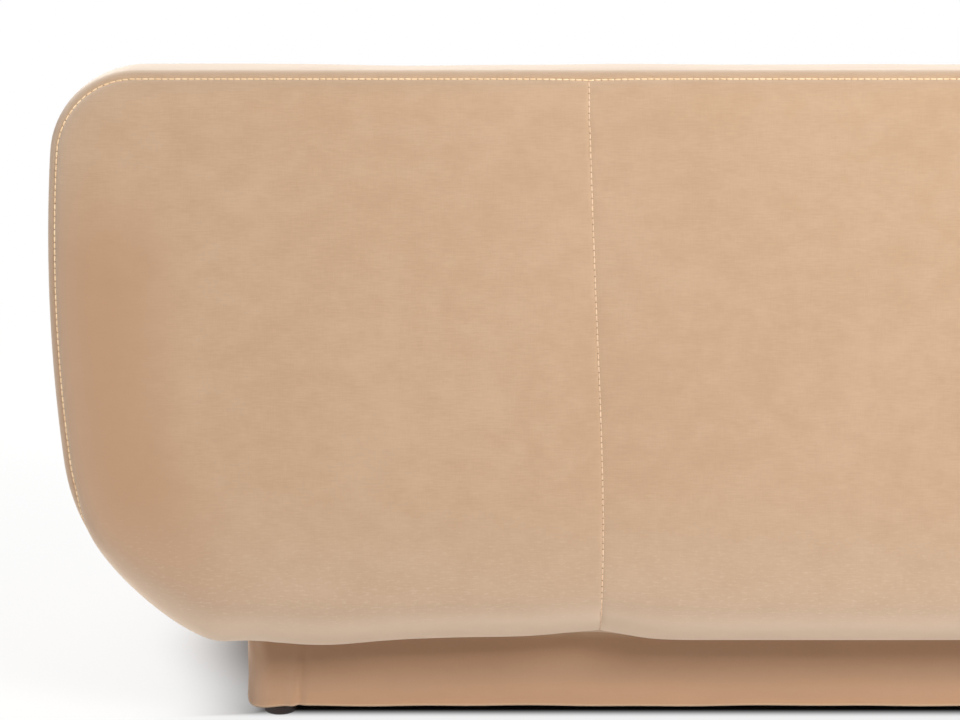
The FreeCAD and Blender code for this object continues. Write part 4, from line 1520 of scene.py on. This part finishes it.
rear_ring, inside_ring = back_ring_points[rear_seam_ring], back_ring_points[inside_seam_ring]
edge_lines = [open_run(rear_ring, back_normals[rear_seam_ring], from_down(back_rim.at(back.ring)[2]) > lowest_facing),
              open_run(inside_ring, back_normals[inside_seam_ring], inside_ring[:, 2] > arm_top)]
panel_lines = [outside_seam_line(back_columns["left"]), outside_seam_line(back_columns["right"]),
               inside_seam_line(back_columns["middle"])]
sew("back_edge", edge_lines, "frame", gold_thread, size=1.0, hole=0.7)
sew("back_panel", panel_lines, "frame", pale_thread, size=0.75, hole=1.1)

# %% Seam lines of arms and cushions
arm_ring, arm_normal = arm_band.rings[arm_seam_ring], arm_band.normals[arm_seam_ring]
arm_line = open_run(arm_ring, arm_normal, arm_ring[:, 2] > arm_foot_level)
sew("arm", [arm_line, tuple(part * mirror for part in arm_line)], "frame", gold_thread, size=1.0, hole=0.7)

cushion_rings = cushion_points[cushion_parts(fine_cushion, fine_section)[1]].reshape(len(fine_section.out), -1, 3)
cushion_lines = []
for ring_index, upward in zip(fine_section.seams, (1.0, -1.0)):
    line, normal = cushion_rings[ring_index], at_level(cushion_way, upward) / math.sqrt(2)
    cushion_lines.append((np.vstack([line, line[:1]]), np.vstack([normal, normal[:1]])))
for side, sign, _ in both_sides:
    sew("cushion_" + side, [(line * sign, normal * sign) for line, normal in cushion_lines], "seat_cushion_" + side,
        gold_thread, size=0.9, hole=0.7)

# %% [markdown]
# ## The frame inside
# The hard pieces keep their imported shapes. Sawn softwood shows long grain along each rail, plywood shows a calmer face
# with fine short pores, webbing is woven, and the bolts are zinc plated. A picture of wood could be wrapped round each
# piece, but noise that is drawn out along the grain needs none. The grain runs along the longest side of a piece, so
# one wood finish is made for each direction.

# %% Wood, webbing and zinc
def make_wood(name, along, pale, dark, rings, pores):
    wood = Finish(name, Specular_IOR_Level=0.3)
    place = wood.place()
    grain = wood.streaks(place, [rings * (0.06 if i == along else 1.0) for i in range(3)], detail=4.0, rough=0.6)
    fine = wood.streaks(place, [pores * (0.04 if i == along else 1.0) for i in range(3)])
    wood.set(Base_Color=wood.mix(wood.range(grain * 0.75 + fine * 0.25, 0.36, 0.64), pale, dark),
             Roughness=0.62 + fine * 0.2)
    wood.bump(grain * 0.4 + fine * 0.6, strength=0.3, distance=0.0006)
    return wood.material


def make_webbing():
    web = Finish("webbing", Roughness=0.8, Specular_IOR_Level=0.25)
    place = web.place()
    weave, band = web.noise(place, 700.0, detail=1.0), web.noise(place, 90.0)
    web.set(Base_Color=web.mix(web.range(weave * 0.6 + band * 0.4, 0.35, 0.65), srgb(70, 64, 58), srgb(112, 104, 94)))
    web.bump(weave, strength=0.5, distance=0.0005)
    return web.material


def make_zinc():
    zinc = Finish("zinc_steel", Metallic=1.0)
    spangle = zinc.noise(zinc.place(), 220.0, detail=3.0, rough=0.6)
    zinc.set(Base_Color=zinc.mix(spangle, srgb(178, 180, 182), srgb(208, 209, 208)), Roughness=0.26 + spangle * 0.2)
    return zinc.material


woods = {"softwood": (srgb(214, 178, 132), srgb(184, 142, 96), 90.0, 900.0),
         "plywood": (srgb(220, 190, 150), srgb(196, 162, 120), 40.0, 1200.0)}
finishes = {name: [make_wood(name + "_" + "xyz"[i], i, *values) for i in range(3)] for name, values in woods.items()}
finishes |= {"webbing": [make_webbing()] * 3, "zinc_steel": [make_zinc()] * 3}
node_slot = {row["node"]: row["material_slot"] for row in frame["record"]["subparts"]}
finished = 0
for name, node in nodes.items():
    if node.hide_render:
        continue
    low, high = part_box(name)
    along = int(np.argmax(np.array(high) - np.array(low)))
    for holder in node.material_slots:
        holder.material = finishes[node_slot[name]][along]
    finished += 1
print(finished, "hard nodes finished")

# %% [markdown]
# ## The studio
# The picture has a white room: a floor that runs into the background, a broad lamp above and to the right behind the
# camera, a weak one beside the near end, and one in front of the sofa for the other views. A white room would also
# throw light back from below and wash out the shadow under the overhang. So the sky is white only to the camera and
# dimmer for all other light, and the floor's colour is darker close to the plinth: a painted shadow under and beside
# the sofa, which also throws less light back. To the camera the floor is mixed with white, least beside the plinth,
# where the shadow lies; how far the shadow reaches there is partly painted by that mix.

# %% Floor and sky
white = (1.0, 1.0, 1.0, 1.0)
floor_reach, plinth_half, plinth_rear = 400.0, 0.73, 0.36


def shown_rays(graph):
    """1 for rays that show a surface to the camera, straight, in a reflection or through glass."""
    straight, mirrored, through = (graph.node("ShaderNodeLightPath", output=kind)
                                   for kind in ("Is Camera Ray", "Is Glossy Ray", "Is Transmission Ray"))
    return graph.range(straight + mirrored + through, 0.0, 1.0)


def make_floor_finish():
    floor = Finish("studio_floor", Roughness=0.9, Specular_IOR_Level=0.05)
    place = floor.place()
    x, y = abs(floor.axis(place, 0)), floor.axis(place, 1)
    open_floor = floor.range((x - plinth_half).at_least(abs(y) - plinth_rear), 0.0, 0.16)
    pale = floor.mix(floor.noise(place, 1.5), (0.88, 0.875, 0.87, 1.0), (0.91, 0.905, 0.90, 1.0))
    # Painted shadow: the floor's colour is dark close to the plinth, under and beside the sofa, and so throws less
    # light back.
    floor.set(Base_Color=floor.mix(open_floor, (0.20, 0.17, 0.155, 1.0), pale))
    # lit lightens the floor beside the plinth's end, towards the camera: the shadow's reach there is partly painted.
    lit = floor.range(y, 0.0, 0.32, 0.0, 0.35) * floor.range(x, 0.70, 0.735)
    beside = ((x - 0.712) * 5.0 + lit).at_least((y - 0.325) * 30.0).at_least((-0.28 - y) * 6.5)
    level = floor.range(beside, 0.0, 1.0, 0.0, 0.85) + floor.range(beside, 1.0, 20.0, 0.0, 0.15)
    glow = floor.node("ShaderNodeEmission", {}, {"Color": white, "Strength": 1.0})
    both = floor.node("ShaderNodeMixShader", {}, {0: level * shown_rays(floor),
                                                  1: Socket(floor, floor.shader.outputs[0]), 2: glow})
    floor.feed(floor.tree.nodes["Material Output"].inputs["Surface"], both)
    return floor.material


def make_floor():
    mesh = bpy.data.meshes.new("studio_floor")
    corners = [(a * floor_reach, b * floor_reach, 0) for a, b in ((-1, -1), (1, -1), (1, 1), (-1, 1))]
    mesh.from_pydata(corners, [], [(0, 1, 2, 3)])
    mesh.materials.append(make_floor_finish())
    plane = bpy.data.objects.new("studio_floor", mesh)
    bpy.context.scene.collection.objects.link(plane)


class Sky(Finish):
    """The world's nodes, with the same methods as a finish."""

    def __init__(self, name):
        self.material = bpy.data.worlds.new(name)
        self.material.use_nodes = True
        self.tree = self.material.node_tree
        self.shader = self.tree.nodes["Background"]


def make_sky(level, colour):
    sky = Sky("studio_sky")
    seen = shown_rays(sky)
    sky.set(Color=sky.mix(seen, colour, white), Strength=level + seen * (1 - level))
    bpy.context.scene.world = sky.material


make_floor()
make_sky(level=0.30, colour=(1.0, 0.975, 0.95, 1.0))
print("floor and sky made")

# %% Lamps
def make_lamp(name, power, size, place, target, colour):
    """A square soft lamp that looks at a point."""
    lamp = bpy.data.lights.new(name, "AREA")
    lamp.shape = "SQUARE"
    lamp.size = size
    lamp.energy = power
    lamp.color = colour
    holder = bpy.data.objects.new(name, lamp)
    holder.location = place
    x, y, z = np.array(target) - np.array(place)
    holder.rotation_euler = (math.atan2(math.hypot(x, y), -z), 0, math.atan2(y, x) - quarter)
    bpy.context.scene.collection.objects.link(holder)


make_lamp("key_lamp", power=126, size=1.3, place=(-1.2, 2.9, 2.6), target=(0.0, 0.4, 0.4), colour=(0.98, 0.985, 0.965))
make_lamp("end_lamp", power=11, size=1.0, place=(2.9, 0.6, 0.9), target=(0.9, 0.2, 0.35), colour=(1.0, 0.985, 0.96))
make_lamp("front_lamp", power=110, size=2.2, place=(1.4, -2.9, 3.0), target=(0.0, -0.2, 0.3),
          colour=(1.0, 0.985, 0.965))
bpy.context.scene.view_settings.view_transform = "Standard"
print("studio lit")
